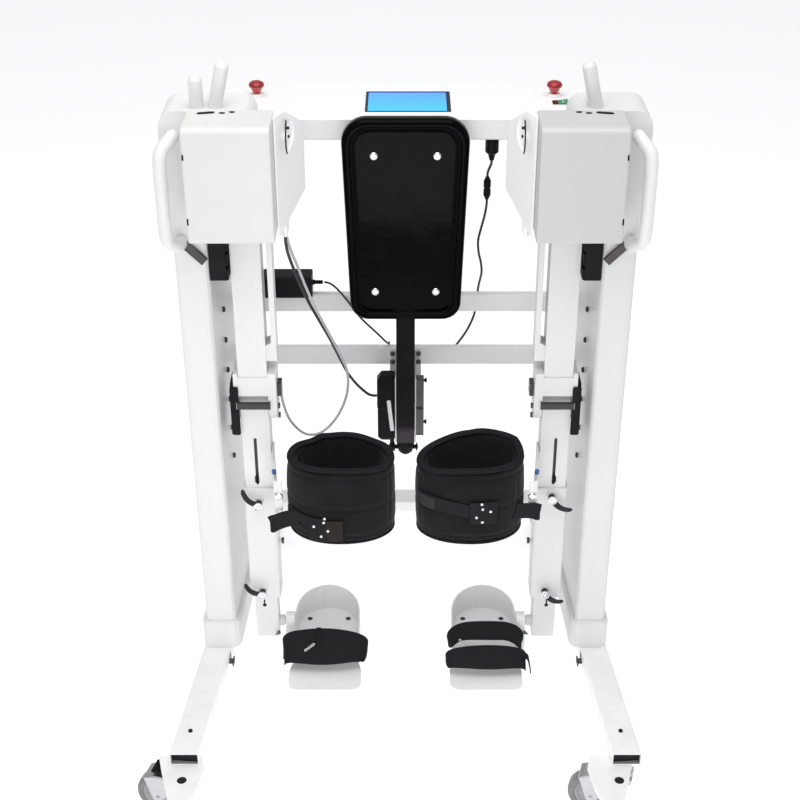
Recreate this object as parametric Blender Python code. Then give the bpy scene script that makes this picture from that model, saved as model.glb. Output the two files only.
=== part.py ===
"""Exoskeleton gait trainer: a wheeled frame with two hip drives, two jointed legs, a console and a back board.

Metres, +Z up, front towards -Y, left is -X. Before the last step Y = 0 is the front face of the pillars and
X = 0 the middle plane. The last step brings the origin to the bottom centre of the model's box.
"""

import math

import bmesh
import bpy
from mathutils import Matrix, Vector

# Clearances
GAP = 0.0003
RUN = 0.0004
SIDES = {"l": -1, "r": 1}

# Base frame
SPLAY = math.radians(5.5)
TUBE_W = 0.060
TUBE_H = 0.030
TUBE_WALL = 0.0025
TUBE_EDGE = 0.003
LEG_X = 0.4175
LEG_FRONT_Y = -0.337
CROSSBAR_Y = 0.560
PLATE_T = 0.006
PLATE_W = 0.096
PLATE_X = {"l": 0.457, "r": 0.419}
PLATE_HOLE_R = 0.010
PLATE_HOLE_X = {"l": 0.450, "r": 0.430}
PLATE_HOLE_Y = -0.381

# Casters
WHEEL_R = 0.050
WHEEL_W = 0.032
TRAIL = 0.056
HOOD_T = 0.008
CASTER_H = 0.129
FORK_WALL = 0.004
AXLE_R = 0.004
FRONT_PIVOT_X = {"l": 0.452, "r": 0.441}
FRONT_PIVOT_Y = -0.338
FRONT_HEADING = math.radians(-15)
REAR_HEADING = math.radians(-90)
PEDAL_HINGE = 0.036
PEDAL_L = 0.030
PEDAL_LIFT = math.radians(10)

BASE_BOTTOM = CASTER_H + PLATE_T
BASE_TOP = BASE_BOTTOM + TUBE_H

# Pillars
TOE_IN = math.radians(3.0)
PILLAR_IN = 0.374
PILLAR_OUT = 0.440
PILLAR_DEPTH = 0.320
PILLAR_REAR_TOP = 1.2597
PILLAR_TOP = 1.400
PILLAR_WALL = 0.003
PILLAR_EDGE = 0.012
SHOULDER_DEPTH = 0.105
SHOULDER_IN = 0.276
SHOULDER_OUT = 0.447
SHOULDER_ROUND = 0.030
SHOULDER_LOBE = 0.028
SHOULDER_T = 0.042
PROUD = 0.0006
FOOT_H = 0.070
FOOT_WALL = 0.009
INDEX_TOP_Z = 0.952
INDEX_PITCH = 0.0696
INDEX_COUNT = 6
INDEX_Y = 0.100
BAR_R = 0.0130
BAR_RISE = 0.083
STUB_X = 0.377
STUB_RISE = 0.060
BAR_Y = 0.022

# Cross rails
RAIL_H = 0.040
RAIL_D = 0.020
RAIL_Y = 0.290
RAIL_UPPER_Z = 0.850
RAIL_MIDDLE_Z = 0.720

# Console
CONSOLE_TOP = 1.305
CONSOLE_H = 0.045
CONSOLE_Y = 0.232
CONSOLE_D = 0.220
CONSOLE_HALF = 0.380
CONSOLE_ROUND = 0.055
SCREEN_X = 0.005
SCREEN_W = 0.172
SCREEN_D = 0.124
SCREEN_Y = 0.270
SCREEN_DEEP = 0.003
STOP_X = CONSOLE_HALF - 0.076
STOP_Y = 0.3675
STOP_R = 0.0158
STOP_TRAVEL = 0.005
ROCKER_X = CONSOLE_HALF - 0.067
ROCKER_Y = 0.321
ROCKER_W = 0.033
ROCKER_D = 0.025

# Hip drive
HOUSE_IN = 0.236
HOUSE_OUT = 0.393
HOUSE_FRONT = -0.100
HOUSE_BACK = 0.100
HOUSE_BOTTOM = 1.185
HOUSE_TOP = 1.402
HOUSE_ROUND = 0.014
HOUSE_WALL = 0.003
HIP_Y = 0.045
HIP_RISE = 0.040
HIP_Z = HOUSE_BOTTOM + HIP_RISE
HIP_PIN_R = 0.0115
COVER_IN = 0.190
COVER_FRONT = -0.040
COVER_BACK = 0.075
COVER_DROP = 0.035
COVER_LOW = HOUSE_BOTTOM - COVER_DROP
SLIDER_H = 0.123
RECESS_R = 0.032
GLAND_R = 0.0055
GLAND_X = 0.228
GLAND_Z = COVER_LOW - 0.004
GLAND_YS = (0.025, 0.052)

# Leg
LINK_IN = 0.2775
LINK_OUT = 0.3355
LINK_D = 0.050
LEG_MID = (LINK_IN + LINK_OUT) / 2
KNEE_Z = 0.765
KNEE_R = 0.0275
KNEE_PIN_R = 0.009
CHEEK_T = 0.010
CHEEK_IN = 0.260
KNEE_TUBE_W = 0.057
KNEE_TUBE_D = 0.051
KNEE_TUBE_END = 0.455
KNEE_IN = LEG_MID - KNEE_TUBE_W / 2
KNEE_OUT = KNEE_IN + KNEE_TUBE_W
SLEEVE_WALL = 0.0045
SLEEVE_TOP = 0.575
SLEEVE_STEP = 0.435
SLEEVE_BOTTOM = 0.288
FOOT_TUBE_W = 0.049
FOOT_TUBE_D = 0.044
FOOT_TUBE_TOP = 0.400
FOOT_TUBE_END = 0.1685
ANKLE_Z = 0.200
ANKLE_R = 0.008
BOSS_T = 0.006
LEVERS = {
    "l": {"upper": (0.0015, SLEEVE_TOP - 0.031, -51, 0.052), "lower": (0.0050, SLEEVE_BOTTOM + 0.022, -37, 0.047)},
    "r": {"upper": (-0.0005, SLEEVE_TOP - 0.015, 32, 0.052), "lower": (-0.0030, SLEEVE_BOTTOM + 0.024, -28, 0.047)},
}

# Foot tray
TRAY_X = 0.176
TRAY_HEEL_W = 0.146
TRAY_TOE_W = 0.158
TRAY_TOE_Y = -0.125
TRAY_STEP_Y = -0.060
TRAY_HEEL_Y = 0.158
TRAY_Z = 0.140
TRAY_T = 0.006
TRAY_WALL = 0.003
HEEL_RISE = 0.072

# Soft parts
CUFF_X = 0.147
CUFF_Y = -0.065
CUFF_A = 0.130
CUFF_B = 0.065
CUFF_T = 0.012
CUFF_LOW = 0.541
CUFF_HIGH = 0.713
STRAP_Y = -0.0425
STRAP_W = 0.045
STRAP_T = 0.005
STRAP_RISE = 0.088

# Back board
BOARD_TOP_W = 0.251
BOARD_LOW_W = 0.228
BOARD_TOP = 1.325
BOARD_LOW = 0.892
BOARD_Y = 0.165
BOARD_T = 0.030
POST_Y = 0.215
POST_W = 0.040
POST_MID_Y = POST_Y + POST_W / 2
POST_TOP = 1.220
POST_LOW = 0.562
POST_PIN_Z = 0.540
LIFT = 0.100
ACTUATOR_W = 0.039
ACTUATOR_TOP = 0.728
ACTUATOR_LOW = 0.566
ROD_R = 0.0048
ROD_X = 0.030
ROD_REACH = LIFT + 0.050
GUIDE_LOW = 0.553
SWITCH_GAP = 0.008

# Grab handles
HANDLE_R = 0.0125
HANDLE_X = 0.441
HANDLE_Y = -0.050
HANDLE_TOP = PILLAR_TOP - 0.050
HANDLE_LOW = HANDLE_TOP - 0.200


def clear_scene():
    for obj in list(bpy.data.objects):
        bpy.data.objects.remove(obj, do_unlink=True)


def material(name, colour, roughness, metallic=0.0):
    """One Principled material, made once and then shared by name."""
    found = bpy.data.materials.get(name)
    if found:
        return found
    made = bpy.data.materials.new(name)
    made.use_nodes = True
    shader = made.node_tree.nodes["Principled BSDF"]
    shader.inputs["Base Color"].default_value = (*colour, 1.0)
    shader.inputs["Roughness"].default_value = roughness
    shader.inputs["Metallic"].default_value = metallic
    made.diffuse_color = (*colour, 1.0)
    return made


def white_paint():
    return material("white_paint", (0.86, 0.86, 0.85), 0.38)


def white_alloy():
    return material("white_alloy", (0.86, 0.86, 0.85), 0.38)


def white_cover():
    return material("white_cover", (0.86, 0.86, 0.85), 0.42)


def black_plastic():
    return material("black_plastic", (0.02, 0.02, 0.022), 0.45)


def black_gloss():
    return material("black_gloss", (0.008, 0.008, 0.009), 0.12)


def grey_plastic():
    return material("grey_plastic", (0.42, 0.43, 0.44), 0.5)


def black_cloth():
    return material("black_cloth", (0.018, 0.018, 0.02), 0.9)


def black_rubber():
    return material("black_rubber", (0.015, 0.015, 0.016), 0.7)


def red_plastic():
    return material("red_plastic", (0.62, 0.02, 0.02), 0.3)


def green_plastic():
    return material("green_plastic", (0.02, 0.32, 0.10), 0.35)


def blue_screen():
    return material("blue_screen", (0.07, 0.32, 0.80), 0.15)


def link(obj, parent=None):
    """Puts the object in the scene, and under its parent with its place kept as given in the parent's frame."""
    bpy.context.scene.collection.objects.link(obj)
    obj.parent = parent
    return obj


def pivot(name, place, parent=None):
    """An empty on a joint's axis."""
    marker = bpy.data.objects.new(name, None)
    marker.location = place
    marker.empty_display_size = 0.02
    return link(marker, parent)


def solid(name, bm, finish, place=(0, 0, 0), parent=None, smooth=math.radians(35)):
    """A mesh object from a bmesh whose points are given relative to its place."""
    bmesh.ops.recalc_face_normals(bm, faces=bm.faces[:])
    mesh = bpy.data.meshes.new(name)
    bm.to_mesh(mesh)
    bm.free()
    mesh.shade_smooth()
    mesh.set_sharp_from_angle(angle=smooth)
    if finish:
        mesh.materials.append(finish)
    obj = bpy.data.objects.new(name, mesh)
    obj.location = place
    return link(obj, parent)


def combine(obj, bm, operation):
    """Fuses a helper shape to the object or cuts it away. The helper is given in the object's own frame."""
    helper = solid(f"{obj.name}_{operation.lower()}_{len(obj.modifiers)}", bm, None, obj.location, obj.parent)
    helper.rotation_euler = obj.rotation_euler
    helper.hide_render = True
    helper.display_type = "WIRE"
    step = obj.modifiers.new(operation.title(), "BOOLEAN")
    step.operation = operation
    step.object = helper
    step.solver = "EXACT"
    return obj


def fuse(obj, bm):
    return combine(obj, bm, "UNION")


def cut(obj, bm):
    return combine(obj, bm, "DIFFERENCE")


def skin(bm, rings, loop=False):
    """Quads between successive rings of points. The two ends get a face each, unless the rings close on themselves."""
    rows = [[bm.verts.new(point) for point in ring] for ring in rings]
    following = rows[1:] + rows[:1] if loop else rows[1:]
    for low, high in zip(rows, following):
        for i, start in enumerate(low):
            j = (i + 1) % len(low)
            bm.faces.new((start, low[j], high[j], high[i]))
    if not loop:
        bm.faces.new(rows[0][::-1])
        bm.faces.new(rows[-1])
    return bm


def in_space(outline, axis, depth):
    """Places a flat outline at a depth along an axis: (Y, Z) for X, (X, Z) for Y and (X, Y) for Z."""
    if axis == "X":
        return [Vector((depth, u, v)) for u, v in outline]
    if axis == "Y":
        return [Vector((u, depth, v)) for u, v in outline]
    return [Vector((u, v, depth)) for u, v in outline]


def prism(bm, outline, axis, start, end):
    return skin(bm, [in_space(outline, axis, start), in_space(outline, axis, end)])


def arc(centre, radius, start, end, steps):
    """Points on a circle from one angle to another, in degrees, both ends included."""
    angles = [math.radians(start + (end - start) * i / steps) for i in range(steps + 1)]
    return [(centre[0] + radius * math.cos(a), centre[1] + radius * math.sin(a)) for a in angles]


def rounded(u0, u1, v0, v1, radius, steps=2):
    """A rectangle with round corners."""
    points = arc((u1 - radius, v0 + radius), radius, -90, 0, steps)
    points += arc((u1 - radius, v1 - radius), radius, 0, 90, steps)
    points += arc((u0 + radius, v1 - radius), radius, 90, 180, steps)
    return points + arc((u0 + radius, v0 + radius), radius, 180, 270, steps)


def circle(centre, radius, sides=16):
    return arc(centre, radius, 0, 360 - 360 / sides, sides - 1)


def turned(bm, profile, axis, centre, sides=16, loop=False):
    """A profile of (radius, height along the axis) turned about a line through the centre.

    A closed profile leaves a bore through the piece."""
    along = {"X": 0, "Y": 1, "Z": 2}[axis]
    across = [i for i in range(3) if i != along]
    rings = []
    for radius, height in profile:
        ring = in_space(circle((centre[across[0]], centre[across[1]]), radius, sides), axis, centre[along] + height)
        rings.append(ring)
    return skin(bm, rings, loop)


def spun(bm, profile, start, direction, sides=16):
    """A profile of (radius, distance) turned about any line from a start point."""
    turn = Vector((0, 0, 1)).rotation_difference(Vector(direction)).to_matrix()
    rings = []
    for radius, distance in profile:
        flat = in_space(circle((0, 0), radius, sides), "Z", distance)
        rings.append([Vector(start) + turn @ point for point in flat])
    return skin(bm, rings)


def drum(bm, axis, centre, radius, start, end, sides=16):
    """A plain cylinder between two heights along the axis."""
    return turned(bm, [(radius, start), (radius, end)], axis, centre, sides)


def box(bm, low, high):
    outline = [(low[0], low[1]), (high[0], low[1]), (high[0], high[1]), (low[0], high[1])]
    return prism(bm, outline, "Z", low[2], high[2])


def span(side, near, far):
    """A pair of X values on one side of the middle plane, the lower one first."""
    return sorted((side * near, side * far))


def soften(obj, width, segments=2):
    """Rounds the sharp edges of a plain shape."""
    step = obj.modifiers.new("Edges", "BEVEL")
    step.width = width
    step.segments = segments
    step.limit_method = "ANGLE"
    step.angle_limit = math.radians(40)
    return obj


def smooth_route(points, count):
    """Evenly spaced points on a Catmull-Rom curve through a route's own points."""
    knots = [Vector(p) for p in points]
    knots = [2 * knots[0] - knots[1]] + knots + [2 * knots[-1] - knots[-2]]
    fine = []
    for a, b, c, d in zip(knots, knots[1:], knots[2:], knots[3:]):
        for step in range(12):
            t = step / 12
            curve = 2 * b + (c - a) * t + (2 * a - 5 * b + 4 * c - d) * t**2 + (3 * b - a - 3 * c + d) * t**3
            fine.append(curve / 2)
    fine.append(knots[-2])
    lengths = [0.0]
    for a, b in zip(fine, fine[1:]):
        lengths.append(lengths[-1] + (b - a).length)
    found = []
    k = 0
    for i in range(count):
        goal = lengths[-1] * i / (count - 1)
        while k < len(fine) - 2 and lengths[k + 1] < goal:
            k += 1
        share = (goal - lengths[k]) / (lengths[k + 1] - lengths[k])
        found.append(fine[k].lerp(fine[k + 1], min(max(share, 0.0), 1.0)))
    return found


def cord(name, route, radius, finish, spacing=2.5, most=60, sides=2):
    """A round cord along a route, as a bevelled curve with closed ends. Its first and last stretch stay straight."""
    length = sum((Vector(b) - Vector(a)).length for a, b in zip(route, route[1:]))
    count = min(most, max(8, round(length / (spacing * 2 * radius)) + 1))
    data = bpy.data.curves.new(name, "CURVE")
    data.dimensions = "3D"
    data.bevel_depth = radius
    data.bevel_resolution = sides
    data.use_fill_caps = True
    data.materials.append(finish)
    spline = data.splines.new("POLY")
    spline.points.add(count - 1)
    places = [route[0]] + smooth_route(route[1:-1], count - 2) + [route[-1]]
    for point, place in zip(spline.points, places):
        point.co = (*place, 1.0)
    return link(bpy.data.objects.new(name, data))


# Base frame


def leg_x(y):
    """Distance of a base leg's centre line from the middle plane."""
    return LEG_X - math.tan(SPLAY) * y


def pillar_in(y):
    """Distance of a pillar's inner face from the middle plane: the pillars are toed in a little."""
    return PILLAR_IN - math.tan(TOE_IN) * y


def leg_section(side, y, inset):
    """A base leg's tube section in an upright plane across the frame."""
    centre = side * leg_x(y)
    half = TUBE_W / 2 - inset
    edge = max(TUBE_EDGE - inset, 0.001)
    outline = rounded(centre - half, centre + half, BASE_BOTTOM + inset, BASE_TOP - inset, edge)
    return in_space(outline, "Y", y)


def base_leg(tag, side):
    """Open-ended box tube, its caster plate welded below the front end, a top screw and a wing bolt."""
    back = CROSSBAR_Y - GAP
    rings = [
        leg_section(side, LEG_FRONT_Y, 0),
        leg_section(side, back, 0),
        leg_section(side, back, TUBE_WALL),
        leg_section(side, LEG_FRONT_Y, TUBE_WALL),
    ]
    leg = solid(f"base_leg_{tag}", skin(bmesh.new(), rings, loop=True), white_paint())
    outline = [
        (0.049, 0.025), (0.039, -0.014), (0.0235, -0.066), (0.014, -0.100), (0.006, -0.115),
        (-0.020, -0.115), (-0.030, -0.100), (-0.040, -0.066), (-0.049, -0.008), (-0.040, 0.027),
    ]
    outline = [(side * (PLATE_X[tag] + outward), LEG_FRONT_Y + ahead) for outward, ahead in outline]
    fuse(leg, prism(bmesh.new(), outline, "Z", CASTER_H, BASE_BOTTOM + TUBE_WALL / 2))
    hole = (side * PLATE_HOLE_X[tag], PLATE_HOLE_Y, CASTER_H)
    cut(leg, drum(bmesh.new(), "Z", hole, PLATE_HOLE_R, -PLATE_T, 3 * PLATE_T))
    screw_y = -0.274
    head = [(0.0055, -0.001), (0.0055, 0.0015), (0.0035, 0.003)]
    fuse(leg, turned(bmesh.new(), head, "Z", (side * leg_x(screw_y), screw_y, BASE_TOP), 10))
    bolt_y = -0.036
    face = side * (leg_x(bolt_y) - TUBE_W / 2)
    middle = BASE_TOP - TUBE_H / 2
    shank = [(0.0065, 0.001 * side), (0.0065, -0.008 * side), (0.0045, -0.013 * side)]
    fuse(leg, turned(bmesh.new(), shank, "X", (face, bolt_y, middle), 10))
    wing = rounded(bolt_y - 0.015, bolt_y + 0.015, middle - 0.006, middle + 0.006, 0.0058, 3)
    fuse(leg, prism(bmesh.new(), wing, "X", face - 0.0095 * side, face - 0.0122 * side))
    return leg


def rear_crossbar():
    """Box tube across the back of the base with the two rear caster plates below it."""
    half = leg_x(CROSSBAR_Y) + TUBE_W / 2 + 0.012
    outer = rounded(CROSSBAR_Y, CROSSBAR_Y + TUBE_W, BASE_BOTTOM, BASE_TOP, TUBE_EDGE)
    inner = rounded(
        CROSSBAR_Y + TUBE_WALL, CROSSBAR_Y + TUBE_W - TUBE_WALL,
        BASE_BOTTOM + TUBE_WALL, BASE_TOP - TUBE_WALL, 0.001,
    )
    rings = [in_space(o, "X", x) for o, x in ((outer, -half), (outer, half), (inner, half), (inner, -half))]
    bar = solid("rear_crossbar", skin(bmesh.new(), rings, loop=True), white_paint())
    plates = bmesh.new()
    for side in SIDES.values():
        x = side * rear_pivot_x()
        low = (x - PLATE_W / 2, CROSSBAR_Y + 0.001, CASTER_H)
        high = (x + PLATE_W / 2, CROSSBAR_Y + TUBE_W + 0.002, BASE_BOTTOM + TUBE_WALL / 2)
        box(plates, low, high)
    return fuse(bar, plates)


def rear_pivot_x():
    return leg_x(CROSSBAR_Y + TUBE_W / 2) - 0.006


# Casters


def caster(tag, place, braked):
    """A swivel fork with a trailing wheel, both hung from empties on their axes. At heading 0 it trails towards -X."""
    swivel = pivot(f"{tag}_swivel", (*place, 0))
    swivel.rotation_euler = (0, 0, FRONT_HEADING if braked else REAR_HEADING)
    fork = fork_body(tag, swivel)
    axle = pivot(f"{tag}_axle", (-TRAIL, 0, WHEEL_R), swivel)
    wheel = wheel_body(tag, axle)
    pedal = brake_pedal(tag, swivel) if braked else None
    return fork, wheel, pedal


def fork_body(tag, swivel):
    """Hooded fork: a side outline that follows the wheel's top, slotted for the wheel, with axle and swivel head."""
    crown = CASTER_H - GAP - 0.010
    half = WHEEL_W / 2 + 0.002 + FORK_WALL
    outline = [(0.024, crown), (0.024, crown - 0.014), (-0.012, crown - 0.034)]
    outline += arc((-TRAIL, WHEEL_R), 0.014, -30, -150, 6)
    outline += arc((-TRAIL, WHEEL_R), WHEEL_R + HOOD_T, 120, 90, 5)
    outline += [(-PEDAL_HINGE + 0.008, 2 * WHEEL_R + HOOD_T), (-PEDAL_HINGE + 0.012, crown)]
    bm = prism(bmesh.new(), outline, "Y", -half, half)
    fork = solid(f"caster_fork_{tag}", bm, grey_plastic(), parent=swivel)
    soften(fork, 0.0025, 1)
    slot = bmesh.new()
    drum(slot, "Y", (-TRAIL, 0, WHEEL_R), WHEEL_R + 0.003, -WHEEL_W / 2 - 0.002, WHEEL_W / 2 + 0.002, 22)
    cut(fork, slot)
    fuse(fork, drum(bmesh.new(), "Y", (-TRAIL, 0, WHEEL_R), AXLE_R, -half - 0.002, half + 0.002, 12))
    head = [(0.024, -0.004), (0.024, 0.006), (0.020, 0.010)]
    return fuse(fork, turned(bmesh.new(), head, "Z", (0, 0, crown), 16))


def wheel_body(tag, axle):
    """Tyre with a crowned tread, recessed disc and hub, open on its axle."""
    half = WHEEL_W / 2
    bore = AXLE_R + RUN
    profile = [
        (bore, -half), (0.012, -half), (0.034, -half + 0.005), (0.037, -half), (0.044, -half), (WHEEL_R, -half * 0.3),
        (WHEEL_R, half * 0.3), (0.044, half), (0.037, half), (0.034, half - 0.005), (0.012, half), (bore, half),
    ]
    bm = turned(bmesh.new(), profile, "Y", (0, 0, 0), 20, loop=True)
    return solid(f"caster_wheel_{tag}", bm, grey_plastic(), parent=axle)


def brake_pedal(tag, swivel):
    """Ribbed foot pedal that lies over the hood and stands up a little, hinged beside the swivel head."""
    hinge = pivot(f"{tag}_pedal_pivot", (-PEDAL_HINGE, 0, 2 * WHEEL_R + HOOD_T + 0.004), swivel)
    rise = PEDAL_L * math.tan(PEDAL_LIFT)
    outline = [(0.005, -0.0035), (0.005, 0.0010), (0.003, 0.0030), (-PEDAL_L + 0.002, 0.0030 + rise)]
    outline += [(-PEDAL_L, 0.0015 + rise), (-PEDAL_L, -0.0035 + rise), (0.0, -0.0035)]
    bm = prism(bmesh.new(), outline, "Y", -0.016, 0.016)
    pedal = solid(f"brake_pedal_{tag}", bm, black_plastic(), parent=hinge)
    ribs = bmesh.new()
    for i in range(3):
        x = -0.010 - 0.007 * i
        top = 0.0030 - x * math.tan(PEDAL_LIFT)
        box(ribs, (x, -0.013, top - 0.002), (x + 0.002, 0.013, top + 0.0012))
    return fuse(pedal, ribs)


# Pillars


def pillar_section(side, inset, z):
    """The pillar's plan: a rounded oblong sheared by the toe-in."""
    edge = max(PILLAR_EDGE - inset, 0.002)
    outline = rounded(PILLAR_IN + inset, PILLAR_OUT - inset, inset, PILLAR_DEPTH - inset, edge, 3)
    return [Vector((side * (x - math.tan(TOE_IN) * y), y, z)) for x, y in outline]


def pillar(tag, side):
    """Folded column, open below, with shoulder, foot collar, index bolts and the inclined bar on top."""
    foot = BASE_TOP + GAP
    rings = [
        pillar_section(side, PILLAR_WALL, PILLAR_REAR_TOP - PILLAR_WALL),
        pillar_section(side, PILLAR_WALL, foot),
        pillar_section(side, -FOOT_WALL, foot),
        pillar_section(side, -FOOT_WALL, foot + FOOT_H - 0.006),
        pillar_section(side, -FOOT_WALL + 0.005, foot + FOOT_H),
        pillar_section(side, 0, foot + FOOT_H),
        pillar_section(side, 0, PILLAR_REAR_TOP),
    ]
    body = solid(f"pillar_{tag}", skin(bmesh.new(), rings), white_paint())
    under = PILLAR_TOP - SHOULDER_T
    low = PILLAR_REAR_TOP - 0.012
    corner = (SHOULDER_OUT - SHOULDER_ROUND, PILLAR_TOP - SHOULDER_ROUND)
    outline = [(SHOULDER_IN, under), (PILLAR_IN - PROUD, under), (PILLAR_IN - PROUD, low), (PILLAR_OUT + PROUD, low)]
    outline += [(PILLAR_OUT + PROUD, PILLAR_TOP - 0.090), (SHOULDER_OUT, PILLAR_TOP - 0.078)]
    outline += arc(corner, SHOULDER_ROUND, 0, 90, 6)
    outline += arc((SHOULDER_IN + SHOULDER_LOBE, PILLAR_TOP - SHOULDER_LOBE), SHOULDER_LOBE, 90, 180, 5)
    outline = [(side * x, z) for x, z in outline]
    fuse(body, prism(bmesh.new(), outline, "Y", -PROUD, SHOULDER_DEPTH))
    bolts = bmesh.new()
    for i in range(INDEX_COUNT):
        face = side * pillar_in(INDEX_Y)
        profile = [(0.0060, 0.0015 * side), (0.0060, -0.0045 * side), (0.0040, -0.0065 * side)]
        turned(bolts, profile, "X", (face, INDEX_Y, INDEX_TOP_Z - INDEX_PITCH * i), 10)
    fuse(body, bolts)
    fuse(body, inclined_bar(side))
    if side < 0:
        stub = [(BAR_R, -0.010), (BAR_R, STUB_RISE - 0.009), (0.0100, STUB_RISE - 0.003), (0.005, STUB_RISE)]
        fuse(body, turned(bmesh.new(), stub, "Z", (side * STUB_X, BAR_Y, PILLAR_TOP), 16))
    return body


def inclined_bar(side):
    """Round bar leaning inwards from the shoulder, with a domed end."""
    start = Vector((side * 0.348, BAR_Y, PILLAR_TOP - 0.015))
    lean = Vector((-0.23 * side, 0.02, 1.0)).normalized()
    rise = BAR_RISE / lean.z + 0.015
    profile = [(BAR_R, 0), (BAR_R, rise - 0.007), (0.010, rise - 0.002), (0.005, rise)]
    return spun(bmesh.new(), profile, start, lean)


# Cross rails


def cross_rail(name, z):
    half = pillar_in(RAIL_Y + RAIL_D) - GAP
    outline = rounded(RAIL_Y, RAIL_Y + RAIL_D, z, z + RAIL_H, 0.002)
    return solid(name, prism(bmesh.new(), outline, "X", -half, half), white_paint())


# Console


def console_beam():
    """Flat beam over the pillars, round at its rear corners, with button collars and a display recess."""
    back = CONSOLE_Y + CONSOLE_D
    centre = CONSOLE_HALF - CONSOLE_ROUND
    outline = [(-CONSOLE_HALF, CONSOLE_Y), (CONSOLE_HALF, CONSOLE_Y)]
    outline += arc((centre, back - CONSOLE_ROUND), CONSOLE_ROUND, 0, 90, 5)
    outline += arc((-centre, back - CONSOLE_ROUND), CONSOLE_ROUND, 90, 180, 5)
    bm = prism(bmesh.new(), outline, "Z", CONSOLE_TOP - CONSOLE_H, CONSOLE_TOP)
    beam = solid("console_beam", bm, white_cover())
    soften(beam, 0.003, 1)
    raised = bmesh.new()
    for side in SIDES.values():
        foot = [(side * 0.300, CONSOLE_TOP - 0.004), (side * 0.366, CONSOLE_TOP - 0.004)]
        foot += [(side * 0.366, CONSOLE_TOP + 0.008), (side * 0.350, CONSOLE_TOP + 0.006)]
        prism(raised, foot, "Y", CONSOLE_Y + 0.010, CONSOLE_Y + 0.055)
    for side in SIDES.values():
        collar = [(0.0140, -0.004), (0.0140, 0.004), (0.0125, 0.006)]
        turned(raised, collar, "Z", (side * STOP_X, STOP_Y, CONSOLE_TOP), 20)
    frame_w, frame_d = ROCKER_W / 2 + 0.003, ROCKER_D / 2 + 0.003
    low = (ROCKER_X - frame_w, ROCKER_Y - frame_d, CONSOLE_TOP - 0.004)
    box(raised, low, (ROCKER_X + frame_w, ROCKER_Y + frame_d, CONSOLE_TOP + 0.002))
    fuse(beam, raised)
    wells = bmesh.new()
    for side in SIDES.values():
        drum(wells, "Z", (side * STOP_X, STOP_Y, CONSOLE_TOP), 0.0065 + RUN, -0.022, 0.010)
    low = (ROCKER_X - ROCKER_W / 2, ROCKER_Y - ROCKER_D / 2, CONSOLE_TOP - 0.016)
    box(wells, low, (ROCKER_X + ROCKER_W / 2, ROCKER_Y + ROCKER_D / 2, CONSOLE_TOP + 0.010))
    low = (SCREEN_X - SCREEN_W / 2, SCREEN_Y, CONSOLE_TOP - SCREEN_DEEP)
    box(wells, low, (SCREEN_X + SCREEN_W / 2, SCREEN_Y + SCREEN_D, CONSOLE_TOP + 0.010))
    cut(beam, wells)
    hinge = drum(bmesh.new(), "Y", (ROCKER_X, 0, CONSOLE_TOP), 0.0015, ROCKER_Y - ROCKER_D / 2 - 0.001,
                 ROCKER_Y + ROCKER_D / 2 + 0.001, 8)
    return fuse(beam, hinge)


def display():
    """Glass panel in the console's recess, with a thin raised bezel."""
    low = CONSOLE_TOP - SCREEN_DEEP + GAP
    high = CONSOLE_TOP + 0.0012
    lip = 0.0035
    rings = []
    for inset, z in ((GAP, low), (GAP, high), (lip, high), (lip + 0.0005, high - 0.0008)):
        half = SCREEN_W / 2 - inset
        outline = rounded(SCREEN_X - half, SCREEN_X + half, SCREEN_Y + inset, SCREEN_Y + SCREEN_D - inset, 0.001, 1)
        rings.append(in_space(outline, "Z", z))
    return solid("display", skin(bmesh.new(), rings), blue_screen())


def stop_button(tag, side):
    """Red mushroom head with a waist, on a stem that runs in the collar."""
    place = pivot(f"stop_{tag}_pivot", (side * STOP_X, STOP_Y, CONSOLE_TOP))
    lift = 0.006 + STOP_TRAVEL + 0.001
    profile = [(0.0065, -0.014), (0.0065, lift), (0.0100, lift + 0.002), (STOP_R - 0.001, lift + 0.009)]
    profile += [(STOP_R, lift + 0.012), (STOP_R - 0.002, lift + 0.016), (0.009, lift + 0.019), (0.004, lift + 0.020)]
    bm = turned(bmesh.new(), profile, "Z", (0, 0, 0), 18)
    return solid(f"stop_button_{tag}", bm, red_plastic(), parent=place)


def rocker_switch():
    """Rocker with two sloped faces, tipped to its left side, on the hinge bar across the switch frame."""
    place = pivot("rocker_pivot", (ROCKER_X, ROCKER_Y, CONSOLE_TOP))
    half = ROCKER_W / 2 - 0.0012
    outline = [(-half, -0.001), (-half * 0.6, -0.006), (half * 0.6, -0.006), (half, -0.001)]
    outline += [(half, 0.0045), (0.002, 0.0035), (-0.002, 0.0035), (-half, 0.0045)]
    tilt = Matrix.Rotation(math.radians(6), 2)
    outline = [tuple(tilt @ Vector(point)) for point in outline]
    deep = ROCKER_D / 2 - 0.0008
    rocker = solid("rocker_switch", prism(bmesh.new(), outline, "Y", -deep, deep), green_plastic(), parent=place)
    return cut(rocker, drum(bmesh.new(), "Y", (0, 0, 0), 0.0019, -deep - 0.002, deep + 0.002, 8))


# Hip drives


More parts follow.
